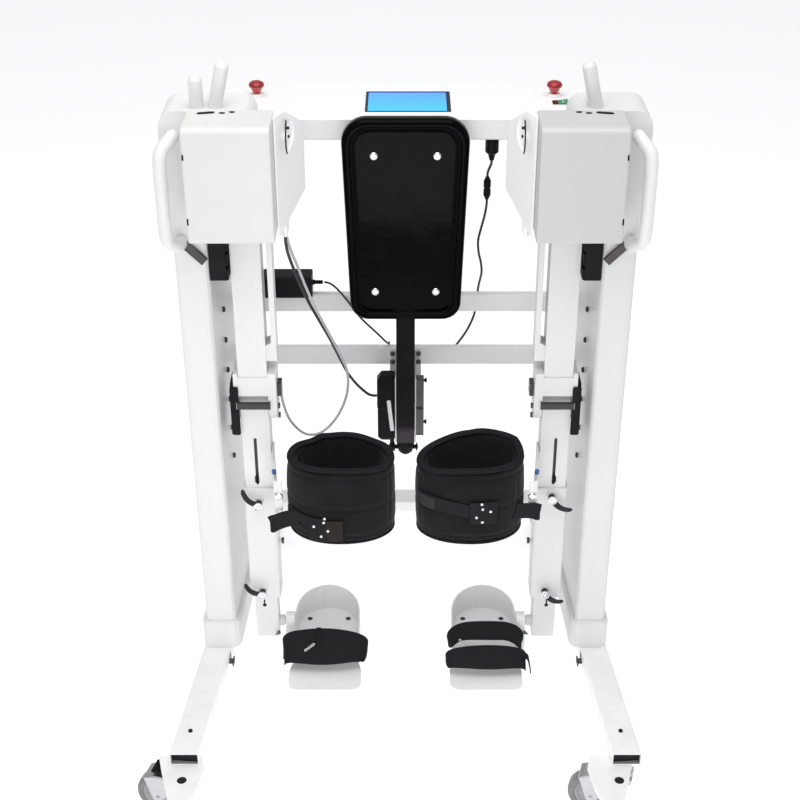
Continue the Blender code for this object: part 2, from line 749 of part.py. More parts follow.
def hip_housing(tag, side):
    """Drive housing: an open-bottomed shell that overhangs the pillar's front, with the hip pin across it."""
    rear_top = PILLAR_TOP - SHOULDER_T - GAP
    outline = [(HOUSE_FRONT, HOUSE_BOTTOM)]
    outline += arc((HOUSE_FRONT + HOUSE_ROUND, HOUSE_TOP - HOUSE_ROUND), HOUSE_ROUND, 180, 90, 5)
    step = -PROUD - GAP
    outline += [(HOUSE_BACK, HOUSE_TOP), (HOUSE_BACK, HOUSE_BOTTOM)]
    x0, x1 = span(side, HOUSE_IN, HOUSE_OUT)
    shell = solid(f"hip_housing_{tag}", prism(bmesh.new(), outline, "X", x0, x1), white_paint())
    soften(shell, 0.0035, 2)
    cut(shell, box(bmesh.new(), (x0 - 0.02, step, rear_top), (x1 + 0.02, HOUSE_BACK + 0.02, HOUSE_TOP + 0.02)))
    rear_out = pillar_in(HOUSE_BACK) - GAP
    n0, n1 = span(side, rear_out, HOUSE_OUT + 0.02)
    cut(shell, box(bmesh.new(), (n0, step, HOUSE_BOTTOM - 0.02), (n1, HOUSE_BACK + 0.02, HOUSE_TOP + 0.02)))
    c0, c1 = span(side, HOUSE_IN + HOUSE_WALL, rear_out - HOUSE_WALL)
    low = (c0, HOUSE_FRONT + HOUSE_WALL + 0.002, HOUSE_BOTTOM - 0.02)
    cut(shell, box(bmesh.new(), low, (c1, HOUSE_BACK - HOUSE_WALL, rear_top - 0.020)))
    p0, p1 = span(side, HOUSE_IN + HOUSE_WALL / 2, rear_out - HOUSE_WALL / 2)
    fuse(shell, drum(bmesh.new(), "X", (0, HIP_Y, HIP_Z), HIP_PIN_R, p0, p1, 20))
    vents = bmesh.new()
    for x, y in ((0.327, -0.016), (0.310, -0.011)):
        drum(vents, "Z", (side * x, y, HOUSE_TOP), 0.0045, -0.006, 0.004, 12)
    slot = [(0.372, -0.022), (0.373, -0.018), (0.341, -0.008), (0.340, -0.012)]
    prism(vents, [(side * x, y) for x, y in slot], "Z", HOUSE_TOP - 0.006, HOUSE_TOP + 0.004)
    return cut(shell, vents)


def hip_cover(tag, side):
    """Inner side cover with a chamfered lower corner, a curved front slot, a cap bolt and two cable glands."""
    outer = HOUSE_IN - GAP
    plan = [(outer, COVER_FRONT), (outer - 0.003, COVER_FRONT), (COVER_IN, COVER_BACK - 0.010)]
    plan += [(COVER_IN, COVER_BACK), (outer, COVER_BACK)]
    plan = [(side * x, y) for x, y in plan]
    bm = prism(bmesh.new(), plan, "Z", COVER_LOW, HOUSE_TOP)
    cover = solid(f"hip_cover_{tag}", bm, white_cover())
    soften(cover, 0.003, 2)
    corner = [(COVER_IN - 0.010, COVER_LOW + 0.076), (COVER_IN - 0.0005, COVER_LOW + 0.076)]
    corner += [(outer + 0.004, COVER_LOW + 0.012), (outer + 0.004, COVER_LOW - 0.010)]
    corner += [(COVER_IN - 0.010, COVER_LOW - 0.010)]
    corner = [(side * x, z) for x, z in corner]
    cut(cover, prism(bmesh.new(), corner, "Y", COVER_FRONT - 0.010, COVER_BACK + 0.010))
    x0, x1 = span(side, COVER_IN - 0.010, outer + 0.010)
    slope = [(-0.008, HOUSE_TOP + 0.002), (COVER_BACK + 0.010, HOUSE_TOP - 0.056)]
    slope += [(COVER_BACK + 0.010, HOUSE_TOP + 0.010), (-0.008, HOUSE_TOP + 0.010)]
    cut(cover, prism(bmesh.new(), slope, "X", x0, x1))
    face = Vector((plan[2][0] - plan[1][0], plan[2][1] - plan[1][1], 0))
    centre = Vector((*plan[1], HOUSE_TOP - 0.048)) + face * 0.40
    inward = Vector((side * face.y, -side * face.x, 0)).normalized()
    recess = [(RECESS_R, -0.005), (RECESS_R, 0.003)]
    cut(cover, spun(bmesh.new(), recess, centre, inward, 28))
    cap = [(0.0075, 0.005), (0.0075, -0.001), (0.0055, -0.003)]
    fuse(cover, spun(bmesh.new(), cap, centre, inward, 12))
    glands = bmesh.new()
    for y in GLAND_YS:
        drum(glands, "Z", (side * GLAND_X, y, GLAND_Z), GLAND_R, 0, 0.032, 12)
    return fuse(cover, glands)


def slider_block(tag, side):
    """Black carriage block on the pillar's inner face, carrying the housing."""
    front, back, inner = 0.004, 0.160, 0.3385
    top = HOUSE_BOTTOM - GAP
    outline = [
        (pillar_in(front) - GAP, front), (pillar_in(back) - GAP, back),
        (inner, back), (inner, front + 0.004), (inner + 0.004, front),
    ]
    outline = [(side * x, y) for x, y in outline]
    low = HOUSE_BOTTOM - SLIDER_H
    block = solid(f"slider_block_{tag}", prism(bmesh.new(), outline, "Z", low, top), black_plastic())
    grooves = bmesh.new()
    g0, g1 = span(side, inner - 0.002, inner + 0.004)
    for rise in (0.023, 0.053, 0.083):
        box(grooves, (g0, front - 0.01, low + rise), (g1, back + 0.01, low + rise + 0.006))
    return cut(block, grooves)


def grab_handle(tag, side):
    """Thick D handle standing off the pillar's front near its outer edge."""
    root = PILLAR_OUT - 0.018
    reach = HANDLE_Y
    route = [
        (root, -PROUD - GAP, HANDLE_TOP + 0.004), (root, reach * 0.20, HANDLE_TOP + 0.004),
        (HANDLE_X - 0.003, reach * 0.80, HANDLE_TOP - 0.010), (HANDLE_X, reach, HANDLE_TOP - 0.032),
        (HANDLE_X, reach - 0.002, (HANDLE_TOP + HANDLE_LOW) / 2), (HANDLE_X, reach, HANDLE_LOW + 0.032),
        (HANDLE_X - 0.003, reach * 0.80, HANDLE_LOW + 0.010), (root, reach * 0.20, HANDLE_LOW - 0.004),
        (root, -PROUD - GAP, HANDLE_LOW - 0.004),
    ]
    route = [(side * x, y, z) for x, y, z in route]
    return cord(f"grab_handle_{tag}", route, HANDLE_R, white_paint(), spacing=0.50, most=22, sides=3)


# Legs


def leg_chain(tag, side):
    """The empties on a leg's axes, from the hip to the foot."""
    hip = pivot(f"hip_{tag}_pivot", (0, HIP_Y, HIP_Z))
    knee = pivot(f"knee_{tag}_pivot", (0, 0, KNEE_Z - HIP_Z), hip)
    ankle = pivot(f"ankle_{tag}_pivot", (0, 0, ANKLE_Z - KNEE_Z), knee)
    return hip, knee, ankle


def thigh_link(tag, side, hip):
    """Thigh bar hung on the hip pin, with a parallel inner strip and two cheeks that hold the knee pin."""
    half = LINK_D / 2
    drop = KNEE_Z - HIP_Z
    end = drop + KNEE_R + 0.0035
    hub = arc((0, 0), 0.034, -45, 225, 14)
    outline = [(half, end)] + [(half, -0.028)] + hub[1:-1] + [(-half, -0.028), (-half, end)]
    x0, x1 = span(side, LINK_IN, LINK_OUT)
    bar = solid(f"thigh_link_{tag}", prism(bmesh.new(), outline, "X", x0, x1), white_alloy(), parent=hip)
    cut(bar, drum(bmesh.new(), "X", (0, 0, 0), HIP_PIN_R + RUN, x0 - 0.01, x1 + 0.01, 20))
    shape = arc((0, drop), 0.030, 180, 360, 10) + [(0.030, drop + 0.085), (-0.030, drop + 0.085)]
    for near, far in ((KNEE_OUT + 0.0012, LINK_OUT + CHEEK_T), (CHEEK_IN, KNEE_IN - 0.0012)):
        c0, c1 = span(side, near, far)
        fuse(bar, prism(bmesh.new(), shape, "X", c0, c1))
    bridge = [(-0.028, drop + 0.075), (-0.028, end + 0.002), (0.028, end + 0.002), (0.028, drop + 0.075)]
    b0, b1 = span(side, CHEEK_IN + 0.002, LINK_OUT + CHEEK_T - 0.002)
    fuse(bar, prism(bmesh.new(), bridge, "X", b0, b1))
    s0, s1 = span(side, KNEE_IN - 0.006, KNEE_OUT + 0.006)
    stop_z = drop + 0.006
    stop = rounded(-KNEE_R - 0.0105, -KNEE_R - 0.002, stop_z, stop_z + 0.016, 0.003)
    fuse(bar, prism(bmesh.new(), stop, "X", s0, s1))
    strip = [(0.2560, -0.075), (0.2665, -0.075), (0.2665, -0.310), (LINK_IN + 0.002, -0.318)]
    strip += [(LINK_IN + 0.002, -0.350), (0.2560, -0.350)]
    fuse(bar, prism(bmesh.new(), [(side * x, z) for x, z in strip], "Y", -0.020, 0.020))
    p0, p1 = span(side, CHEEK_IN + 0.001, LINK_OUT + CHEEK_T - 0.001)
    fuse(bar, drum(bmesh.new(), "X", (0, 0, drop), KNEE_PIN_R, p0, p1, 16))
    caps = bmesh.new()
    for z in (drop + 0.002, drop - 0.020):
        turned(caps, [(0.0060, (CHEEK_IN + 0.001) * side), (0.0060, (CHEEK_IN - 0.005) * side)], "X",
               (0, -0.012, z), 10)
    k0, k1 = span(side, CHEEK_IN - 0.010, CHEEK_IN + 0.001)
    box(caps, (k0, -0.022, drop + 0.030), (k1, 0.004, drop + 0.058))
    return fuse(bar, caps)


def knee_tube(tag, side, knee):
    """Upper shank tube with a round knee end, a front slot and a pointer."""
    half = KNEE_TUBE_D / 2
    end = KNEE_TUBE_END - KNEE_Z
    outline = [(-half, end)] + arc((0, 0), KNEE_R, 202, -22, 14) + [(half, end)]
    x0, x1 = span(side, KNEE_IN, KNEE_OUT)
    tube = solid(f"knee_tube_{tag}", prism(bmesh.new(), outline, "X", x0, x1), white_alloy(), parent=knee)
    cut(tube, drum(bmesh.new(), "X", (0, 0, 0), KNEE_PIN_R + RUN, x0 - 0.01, x1 + 0.01, 16))
    middle = side * (LEG_MID + 0.0025)
    slot = rounded(middle - 0.0032, middle + 0.0032, SLEEVE_TOP + 0.008 - KNEE_Z, 0.697 - KNEE_Z, 0.003)
    cut(tube, prism(bmesh.new(), slot, "Y", -half - 0.01, -half + 0.005))
    return tube


def shank_sleeve(tag, side, knee):
    """Outer sleeve: the knee tube slides in its wide upper bore, the foot tube in its narrow lower one."""
    centre = side * LEG_MID
    wide = (KNEE_TUBE_W / 2 + GAP, KNEE_TUBE_D / 2 + GAP)
    thin = (FOOT_TUBE_W / 2 + GAP, FOOT_TUBE_D / 2 + GAP)
    outer = (wide[0] + SLEEVE_WALL, wide[1] + SLEEVE_WALL)
    rings = []
    for (a, b), edge, z in (
        (outer, 0.006, SLEEVE_BOTTOM), (outer, 0.006, SLEEVE_TOP), (wide, 0.0005, SLEEVE_TOP),
        (wide, 0.0005, SLEEVE_STEP), (thin, 0.0005, SLEEVE_STEP - 0.004), (thin, 0.0005, SLEEVE_BOTTOM),
    ):
        rings.append(in_space(rounded(centre - a, centre + a, -b, b, edge), "Z", z - KNEE_Z))
    sleeve = solid(f"shank_sleeve_{tag}", skin(bmesh.new(), rings, loop=True), white_alloy(), parent=knee)
    bosses = bmesh.new()
    for x, z, _, _ in LEVERS[tag].values():
        drum(bosses, "Y", (side * (LEG_MID + x), 0, z - KNEE_Z), 0.0105, -outer[1] - BOSS_T, -outer[1] + 0.002, 16)
    fuse(sleeve, bosses)
    inner = side * (abs(centre) - outer[0])
    knob = [(0.004, 0.002 * side), (0.004, -0.004 * side), (0.007, -0.005 * side), (0.007, -0.010 * side)]
    return fuse(sleeve, turned(bmesh.new(), knob, "X", (inner, 0, 0.420 - KNEE_Z), 12))


def foot_tube(tag, side, knee):
    """Lower tube with a keyhole slot, a cut-off lower end and the ankle pin on its inner side."""
    centre = side * LEG_MID
    a, b = FOOT_TUBE_W / 2, FOOT_TUBE_D / 2
    rings = []
    for inset, z in ((0.004, FOOT_TUBE_END), (0, FOOT_TUBE_END + 0.004), (0, FOOT_TUBE_TOP)):
        rings.append(in_space(rounded(centre - a + inset, centre + a - inset, -b + inset, b - inset, 0.0008),
                              "Z", z - KNEE_Z))
    tube = solid(f"foot_tube_{tag}", skin(bmesh.new(), rings), white_alloy(), parent=knee)
    keyhole = bmesh.new()
    x = side * (LEG_MID + 0.0045)
    drum(keyhole, "Y", (x, -b, 0.260 - KNEE_Z), 0.0045, -0.004, 0.004, 12)
    cut(tube, keyhole)
    box_slot = box(bmesh.new(), (x - 0.0018, -b - 0.004, 0.262 - KNEE_Z), (x + 0.0018, -b + 0.004, 0.281 - KNEE_Z))
    cut(tube, box_slot)
    inner = side * (abs(centre) - a)
    reach = 0.2700 - (abs(centre) - a)
    tip = 0.2545 - (abs(centre) - a)
    profile = [(0.0125, 0.003 * side), (0.0125, reach * side), (ANKLE_R, reach * side), (ANKLE_R, tip * side)]
    return fuse(tube, turned(bmesh.new(), profile, "X", (inner, 0, ANKLE_Z - KNEE_Z), 16))


def tray_half(y):
    """Half the tray's width at a place along it, narrowing to a round heel."""
    if y < TRAY_STEP_Y:
        return TRAY_TOE_W / 2
    bend = TRAY_HEEL_Y - TRAY_HEEL_W / 2
    if y < bend:
        ease = min((y - TRAY_STEP_Y) / 0.020, 1.0)
        return TRAY_TOE_W / 2 + (TRAY_HEEL_W - TRAY_TOE_W) / 2 * ease
    return math.sqrt(max((TRAY_HEEL_W / 2) ** 2 - (y - bend) ** 2, 0.0))


def tray_edge():
    """The tray's outline from the toe's outer corner round the heel to the toe's inner corner."""
    bend = TRAY_HEEL_Y - TRAY_HEEL_W / 2
    straight = [(tray_half(y), y) for y in (TRAY_STEP_Y - 0.001, TRAY_STEP_Y + 0.020, -0.010, 0.040)]
    round_heel = arc((0, bend), TRAY_HEEL_W / 2, 0, 180, 14)
    return straight + round_heel + [(-x, y) for x, y in straight[::-1]]


def footplate(tag, side, ankle):
    """Foot tray: floor with round toe corners, bent heel wall and the ankle bracket."""
    corner = 0.022
    outline = arc((-TRAY_TOE_W / 2 + corner, TRAY_TOE_Y + corner), corner, 180, 270, 4)
    outline += arc((TRAY_TOE_W / 2 - corner, TRAY_TOE_Y + corner), corner, 270, 360, 4)
    outline += tray_edge()
    centre = side * TRAY_X
    low = TRAY_Z - ANKLE_Z
    shift = [(centre + x, y - HIP_Y) for x, y in outline]
    plate = solid(f"footplate_{tag}", prism(bmesh.new(), shift, "Z", low, low + TRAY_T), white_alloy(), parent=ankle)
    path = [point for point in tray_edge() if point[1] > -0.011]
    stations = []
    for i, (x, y) in enumerate(path):
        before = Vector(path[max(i - 1, 0)])
        after = Vector(path[min(i + 1, len(path) - 1)])
        along = (after - before).normalized()
        inward = Vector((-along.y, along.x))
        ease = min(max((y + 0.011) / (TRAY_HEEL_Y + 0.011), 0.0), 1.0)
        top = low + TRAY_T + 0.022 + (HEEL_RISE - 0.028) * ease
        outer = Vector((x, y)) + inward * 0.0002
        inner = Vector((x, y)) + inward * TRAY_WALL
        station = [(outer, low + 0.001), (inner, low + 0.001), (inner, top), (outer, top)]
        stations.append([Vector((centre + p.x, p.y - HIP_Y, z)) for p, z in station])
    fuse(plate, skin(bmesh.new(), stations))
    bracket = arc((0, 0), 0.020, 0, 180, 8) + [(-0.038, low + 0.004), (0.052, low + 0.004)]
    wall = TRAY_X + TRAY_HEEL_W / 2
    b0, b1 = span(side, wall - 0.002, 0.2665)
    fuse(plate, prism(bmesh.new(), bracket, "X", b0, b1))
    cut(plate, drum(bmesh.new(), "X", (0, 0, 0), ANKLE_R + RUN, b0 - 0.02, b1 + 0.02, 16))
    screws = bmesh.new()
    for x in (-0.044, 0.044):
        turned(screws, [(0.006, -0.001), (0.006, 0.001), (0.003, 0.0022)], "Z",
               (centre + x, 0.115 - HIP_Y, low + TRAY_T), 10)
    return fuse(plate, screws)


def foot_strap(tag, side, ankle):
    """Padded instep strap: an arched band whose ends hug the tray's edges."""
    count = 22
    foot_half = TRAY_TOE_W / 2 + GAP
    rings = []
    for i in range(count + 1):
        angle = math.pi * i / count
        ring = []
        for grow, y in ((0, -1), (STRAP_T, -1), (STRAP_T, 1), (0, 1)):
            x = (foot_half + grow) * math.copysign(abs(math.cos(angle)) ** 0.62, math.cos(angle))
            z = (STRAP_RISE + grow - 0.004) * math.sin(angle) ** 0.8
            ring.append(Vector((side * TRAY_X + x, STRAP_Y - HIP_Y + y * STRAP_W / 2, TRAY_Z + 0.004 + z - ANKLE_Z)))
        rings.append(ring)
    return solid(f"foot_strap_{tag}", skin(bmesh.new(), rings), black_cloth(), parent=ankle)


def leg_cuff(tag, side, knee):
    """Oval leg cuff, waisted between its rims, with the block that runs on the knee tube."""
    rings_out = []
    rings_in = []
    rows = 3
    sides = 32
    for i in range(rows + 1):
        t = i / rows
        z = CUFF_LOW + (CUFF_HIGH - CUFF_LOW) * t - KNEE_Z
        waist = -0.004 * math.sin(math.pi * t)
        for rings, shrink in ((rings_out, 0), (rings_in, CUFF_T)):
            a, b = CUFF_A + waist - shrink, CUFF_B + waist - shrink
            ring = []
            for k in range(sides):
                angle = 2 * math.pi * k / sides
                ring.append(Vector((side * CUFF_X + a * math.cos(angle), CUFF_Y - HIP_Y + b * math.sin(angle), z)))
            rings.append(ring)
    cuff = solid(f"leg_cuff_{tag}", skin(bmesh.new(), rings_out + rings_in[::-1], loop=True), black_cloth(),
                 parent=knee)
    back = KNEE_TUBE_D / 2 - 0.006
    plan = [
        (KNEE_IN - GAP, back), (KNEE_IN - GAP - 0.006, back), (KNEE_IN - GAP - 0.006, -0.040),
        (0.262, -0.078), (0.262, -0.112), (0.270, -0.112), (KNEE_IN - GAP, -0.050),
    ]
    plan = [(side * x, y) for x, y in plan]
    return fuse(cuff, prism(bmesh.new(), plan, "Z", 0.592 - KNEE_Z, 0.662 - KNEE_Z))


def clamp_lever(name, side, spot, knee):
    """Cranked clamp lever with a round hub, turned about an axis square to the sleeve's front."""
    x, z, angle, length = spot
    face = -(KNEE_TUBE_D / 2 + GAP + SLEEVE_WALL) - BOSS_T - GAP
    hinge = pivot(f"{name}_pivot", (side * (LEG_MID + x), face, z - KNEE_Z), knee)
    hinge.rotation_euler = (0, math.radians(angle) * side, 0)
    hub = [(0.0095, -GAP), (0.0095, -0.012), (0.0070, -0.016), (0.0040, -0.016)]
    lever = solid(name, turned(bmesh.new(), hub, "Y", (0, 0, 0), 14), black_plastic(), parent=hinge)
    rings = []
    for i in range(6):
        t = i / 5
        x = 0.004 + (length - 0.004) * t
        bow = -0.007 * math.sin(math.pi * t)
        half = 0.0068 - 0.0022 * t if i < 5 else 0.0025
        out = -0.0085 - 0.003 * t
        flat = rounded(-0.0030, 0.0030, -half, half, 0.0022, 1)
        rings.append([Vector((side * x, out + u, bow + v)) for u, v in flat])
    return fuse(lever, skin(bmesh.new(), rings))


def leg(tag, side):
    hip, knee, ankle = leg_chain(tag, side)
    thigh_link(tag, side, hip)
    knee_tube(tag, side, knee)
    shank_sleeve(tag, side, knee)
    foot_tube(tag, side, knee)
    footplate(tag, side, ankle)
    foot_strap(tag, side, ankle)
    leg_cuff(tag, side, knee)
    for end, spot in LEVERS[tag].items():
        clamp_lever(f"lever_{end}_{tag}", side, spot, knee)


# Back board and its lift


def board_outline(inset):
    """Tapered outline with large top corners, as (X, Z) from the board's own middle line."""
    top, low = BOARD_TOP - inset, BOARD_LOW + inset
    wide, narrow = BOARD_TOP_W / 2 - inset, BOARD_LOW_W / 2 - inset
    big, small = 0.050 - inset * 0.6, 0.038 - inset * 0.6
    points = arc((narrow - small, low + small), small, -90, 0, 5)
    points += arc((wide - big, top - big), big, 2, 90, 6)
    points += arc((-wide + big, top - big), big, 90, 178, 6)
    return points + arc((-narrow + small, low + small), small, 180, 270, 5)


def back_board(lift):
    """Moulded board: rolled edge, a raised rim inset from it and four dome screws."""
    back = BOARD_Y + BOARD_T
    rings = []
    for inset, y in (
        (0.006, back), (0.0, back - 0.008), (0.0, BOARD_Y + 0.012), (0.004, BOARD_Y + 0.003), (0.010, BOARD_Y),
        (0.014, BOARD_Y), (0.0165, BOARD_Y + 0.003), (0.020, BOARD_Y + 0.004),
    ):
        rings.append([Vector((x, y, z)) for x, z in board_outline(inset)])
    board = solid("back_board", skin(bmesh.new(), rings), black_gloss(), parent=lift)
    screws = bmesh.new()
    for x in (-0.062, 0.062):
        for z in (0.958, 1.251):
            profile = [(0.0085, 0.002), (0.0085, -0.0015), (0.0060, -0.0035), (0.003, -0.0042)]
            turned(screws, profile, "Y", (x, BOARD_Y + 0.004, z), 14)
    return fuse(board, screws)


def pad_post(lift):
    """Square post with two board carriers, a round end cap, a cross pin and the actuator's rod on the pin."""
    front, back = POST_Y, POST_Y + POST_W
    half = POST_W / 2
    outline = rounded(-half, half, front, back, 0.004)
    bm = prism(bmesh.new(), outline, "Z", POST_LOW, POST_TOP)
    post = solid("pad_post", bm, black_plastic(), parent=lift)
    carriers = bmesh.new()
    for z in (0.958, 1.180):
        box(carriers, (-0.080, BOARD_Y + BOARD_T + GAP, z - 0.022), (0.080, POST_Y + 0.004, z + 0.022))
    fuse(post, carriers)
    cap = [(0.008, -0.038), (0.016, -0.030), (0.0195, -0.014), (0.0195, 0.004)]
    fuse(post, turned(bmesh.new(), cap, "Z", (0, POST_MID_Y, POST_LOW), 20))
    fuse(post, drum(bmesh.new(), "X", (0, POST_MID_Y, POST_PIN_Z), 0.005, -0.0375, 0.028, 12))
    fuse(post, drum(bmesh.new(), "X", (0, POST_MID_Y, POST_PIN_Z), 0.010, -0.0355, -0.0235, 16))
    fuse(post, drum(bmesh.new(), "Z", (-ROD_X, POST_MID_Y, POST_PIN_Z), ROD_R, 0.004, ROD_REACH, 12))
    return fuse(post, drum(bmesh.new(), "X", (0, POST_MID_Y, POST_PIN_Z), 0.009, 0.0235, 0.0265, 12))


def pad_guide():
    """Bolted plate on the middle rail with two side plates along the post and a limit switch pair."""
    back = RAIL_Y - GAP
    middle = RAIL_MIDDLE_Z + RAIL_H / 2
    low = GUIDE_LOW
    outline = [(-0.0345, low + 0.150), (-0.0235, low), (0.0235, low), (0.0345, low + 0.150)]
    outline += [(0.0345, middle + 0.019), (-0.0345, middle + 0.019)]
    guide = solid("pad_guide", prism(bmesh.new(), outline, "Y", back - 0.004, back), white_paint())
    cheeks = bmesh.new()
    for side in SIDES.values():
        c0, c1 = span(side, POST_W / 2 + 0.0006, POST_W / 2 + 0.0030)
        box(cheeks, (c0, POST_Y + 0.006, low + 0.008), (c1, back - 0.002, middle - 0.010))
    fuse(guide, cheeks)
    extras = bmesh.new()
    for side in SIDES.values():
        for z in (middle - 0.010, middle + 0.010):
            turned(extras, [(0.0055, 0.001), (0.0055, -0.004), (0.0035, -0.006)], "Y",
                   (side * 0.0286, back - 0.004, z), 10)
    switch_low = (low + 0.023, low + 0.089 + SWITCH_GAP)
    for z in switch_low:
        box(extras, (POST_W / 2 + 0.002, POST_Y + 0.010, z), (0.040, POST_Y + 0.034, z + 0.066))
    return fuse(guide, extras)


def actuator():
    """Linear actuator beside the post: motor can and gear head, drilled for the rod."""
    right = -(POST_W / 2 + 0.0030 + GAP)
    left = right - ACTUATOR_W
    neck = ACTUATOR_TOP - 0.082
    rings = []
    for inset, z in (
        (0.006, ACTUATOR_LOW), (0.001, ACTUATOR_LOW + 0.008), (0.001, neck), (0.0, neck + 0.006),
        (0.0, ACTUATOR_TOP - 0.014), (0.008, ACTUATOR_TOP),
    ):
        outline = rounded(left + inset, right, POST_MID_Y - 0.019 + inset, POST_MID_Y + 0.021 - inset, 0.007, 3)
        rings.append(in_space(outline, "Z", z))
    body = solid("actuator", skin(bmesh.new(), rings), black_plastic())
    bore = POST_PIN_Z + ROD_REACH + 0.008 - ACTUATOR_LOW
    return cut(body, drum(bmesh.new(), "Z", (-ROD_X, POST_MID_Y, ACTUATOR_LOW), ROD_R + RUN, -0.01, bore, 12))


# Power adapter and cords


def power_adapter():
    """Adapter on the upper rail with a ribbed strain relief."""
    low = RAIL_UPPER_Z + RAIL_H + GAP
    outline = rounded(0.2705, 0.3195, low, low + 0.050, 0.005)
    body = solid("power_adapter", prism(bmesh.new(), outline, "X", -0.305, ADAPTER_END), black_plastic())
    soften(body, 0.002, 1)
    relief = [(0.0055, -0.003), (0.0055, 0.004)]
    for i in range(4):
        relief += [(0.0048, 0.006 + 0.005 * i), (0.0036, 0.0075 + 0.005 * i)]
    return fuse(body, turned(bmesh.new(), relief, "X", (ADAPTER_END, ADAPTER_ROUTE[0][1], ADAPTER_ROUTE[0][2]), 12))


def display_plug():
    """Round plug under the console with a tapered tail."""
    profile = [(0.0045, -0.048), (0.0075, -0.036), (0.0135, -0.030), (0.0135, -0.006), (0.0115, -0.006), (0.0115, -GAP)]
    place = (PLUG_X, PLUG_Y, CONSOLE_TOP - CONSOLE_H)
    return solid("display_plug", turned(bmesh.new(), profile, "Z", place, 16), black_plastic())


def inline_connector():
    """Waisted inline connector in the display cord."""
    profile = [(0.0035, 0), (0.0060, 0.006), (0.0075, 0.009), (0.0075, 0.021), (0.0062, 0.024)]
    profile += [(0.0075, 0.027), (0.0075, 0.040), (0.0060, 0.043), (0.0035, 0.049)]
    place = (CONNECTOR[0], CONNECTOR[1], CONNECTOR[2])
    return solid("inline_connector", turned(bmesh.new(), profile, "Z", place, 12), black_plastic())


PLUG_X = 0.173
PLUG_Y = 0.250
CONNECTOR = (0.166, 0.254, 1.126)
ADAPTER_END = -0.199

DISPLAY_UPPER = [
    (0.173, 0.250, 1.2117), (0.173, 0.250, 1.206), (0.1715, 0.2505, 1.200),
    (0.1680, 0.253, 1.190), (0.1662, 0.254, 1.183), (0.166, 0.254, 1.1753),
]
DISPLAY_LOWER = [
    (0.166, 0.254, 1.1257), (0.166, 0.254, 1.115), (0.163, 0.257, 1.090), (0.157, 0.262, 1.060),
    (0.1515, 0.268, 1.028), (0.1535, 0.274, 0.998), (0.1590, 0.283, 0.972), (0.1622, 0.295, 0.945),
    (0.1610, 0.309, 0.922), (0.1585, 0.3190, 0.903), (0.1565, 0.3210, 0.885), (0.1535, 0.3210, 0.855),
    (0.1495, 0.3215, 0.825), (0.136, 0.3220, 0.790), (0.118, 0.3215, 0.760), (0.104, 0.319, 0.744),
    (0.100, 0.3150, 0.740), (0.100, 0.3104, 0.740),
]
ADAPTER_ROUTE = [
    (-0.1733, 0.290, 0.921), (-0.163, 0.287, 0.920), (-0.152, 0.282, 0.915), (-0.138, 0.2765, 0.902),
    (-0.122, 0.276, 0.880), (-0.107, 0.277, 0.856), (-0.0918, 0.279, 0.835), (-0.074, 0.281, 0.815),
    (-0.056, 0.283, 0.795), (-0.0435, 0.287, 0.779), (-0.038, 0.296, 0.7695), (-0.036, 0.307, 0.7665),
    (-0.036, 0.316, 0.760), (-0.036, 0.3180, 0.748), (-0.036, 0.3150, 0.740), (-0.036, 0.3104, 0.740),
]
ACTUATOR_ROUTE = [
    (-0.228, 0.025, 1.1457), (-0.228, 0.026, 1.134), (-0.2255, 0.030, 1.110), (-0.2170, 0.043, 1.070),
    (-0.2060, 0.061, 1.025), (-0.1915, 0.088, 0.970), (-0.1745, 0.118, 0.915), (-0.157, 0.147, 0.860),
    (-0.140, 0.175, 0.802), (-0.126, 0.194, 0.757), (-0.110, 0.212, 0.720), (-0.094, 0.224, 0.694),
    (-0.080, 0.2300, 0.678), (-0.071, 0.232, 0.674), (-0.0627, 0.232, 0.674),
]
SENSOR_ROUTE = [
    (-0.228, 0.052, 1.1457), (-0.228, 0.053, 1.134), (-0.2235, 0.054, 1.110), (-0.2115, 0.057, 1.072),
    (-0.1970, 0.067, 1.020), (-0.1795, 0.088, 0.959), (-0.1580, 0.121, 0.889), (-0.1360, 0.144, 0.824),
    (-0.1225, 0.154, 0.776), (-0.1245, 0.152, 0.725), (-0.144, 0.140, 0.679), (-0.176, 0.122, 0.650),
    (-0.210, 0.100, 0.657), (-0.240, 0.080, 0.702), (-0.2535, 0.070, 0.757), (-0.255, 0.068, 0.792),
    (-0.255, 0.058, 0.809), (-0.255, 0.0494, 0.809),
]


def cords():
    cord("display_cord_upper", DISPLAY_UPPER, 0.0025, black_rubber())
    cord("display_cord_lower", DISPLAY_LOWER, 0.0025, black_rubber())
    cord("adapter_cable", ADAPTER_ROUTE, 0.0022, black_rubber())
    cord("actuator_cable", ACTUATOR_ROUTE, 0.0030, black_rubber(), spacing=3.0)
    cord("sensor_cable", SENSOR_ROUTE, 0.0028, grey_plastic(), spacing=3.0)


def model_box():
    """Lowest and highest corner over every visible solid, as evaluated."""
    bpy.context.view_layer.update()
    graph = bpy.context.evaluated_depsgraph_get()
    lows, highs = [], []
    for obj in bpy.context.scene.objects:
        if obj.type not in ("MESH", "CURVE") or obj.hide_render:
            continue
        evaluated = obj.evaluated_get(graph)
        mesh = evaluated.to_mesh()
        points = [evaluated.matrix_world @ v.co for v in mesh.vertices]
        lows.append([min(p[i] for p in points) for i in range(3)])
        highs.append([max(p[i] for p in points) for i in range(3)])
        evaluated.to_mesh_clear()
    low = [min(values) for values in zip(*lows)]
    high = [max(values) for values in zip(*highs)]
    return Vector(low), Vector(high)


def centre_model():
    """Moves the whole model so that the origin is at the bottom centre of its box."""
    low, high = model_box()
    shift = Vector((-(low.x + high.x) / 2, -(low.y + high.y) / 2, 0))
    for obj in bpy.context.scene.objects:
        if obj.parent is None:
            obj.location += shift
    return shift


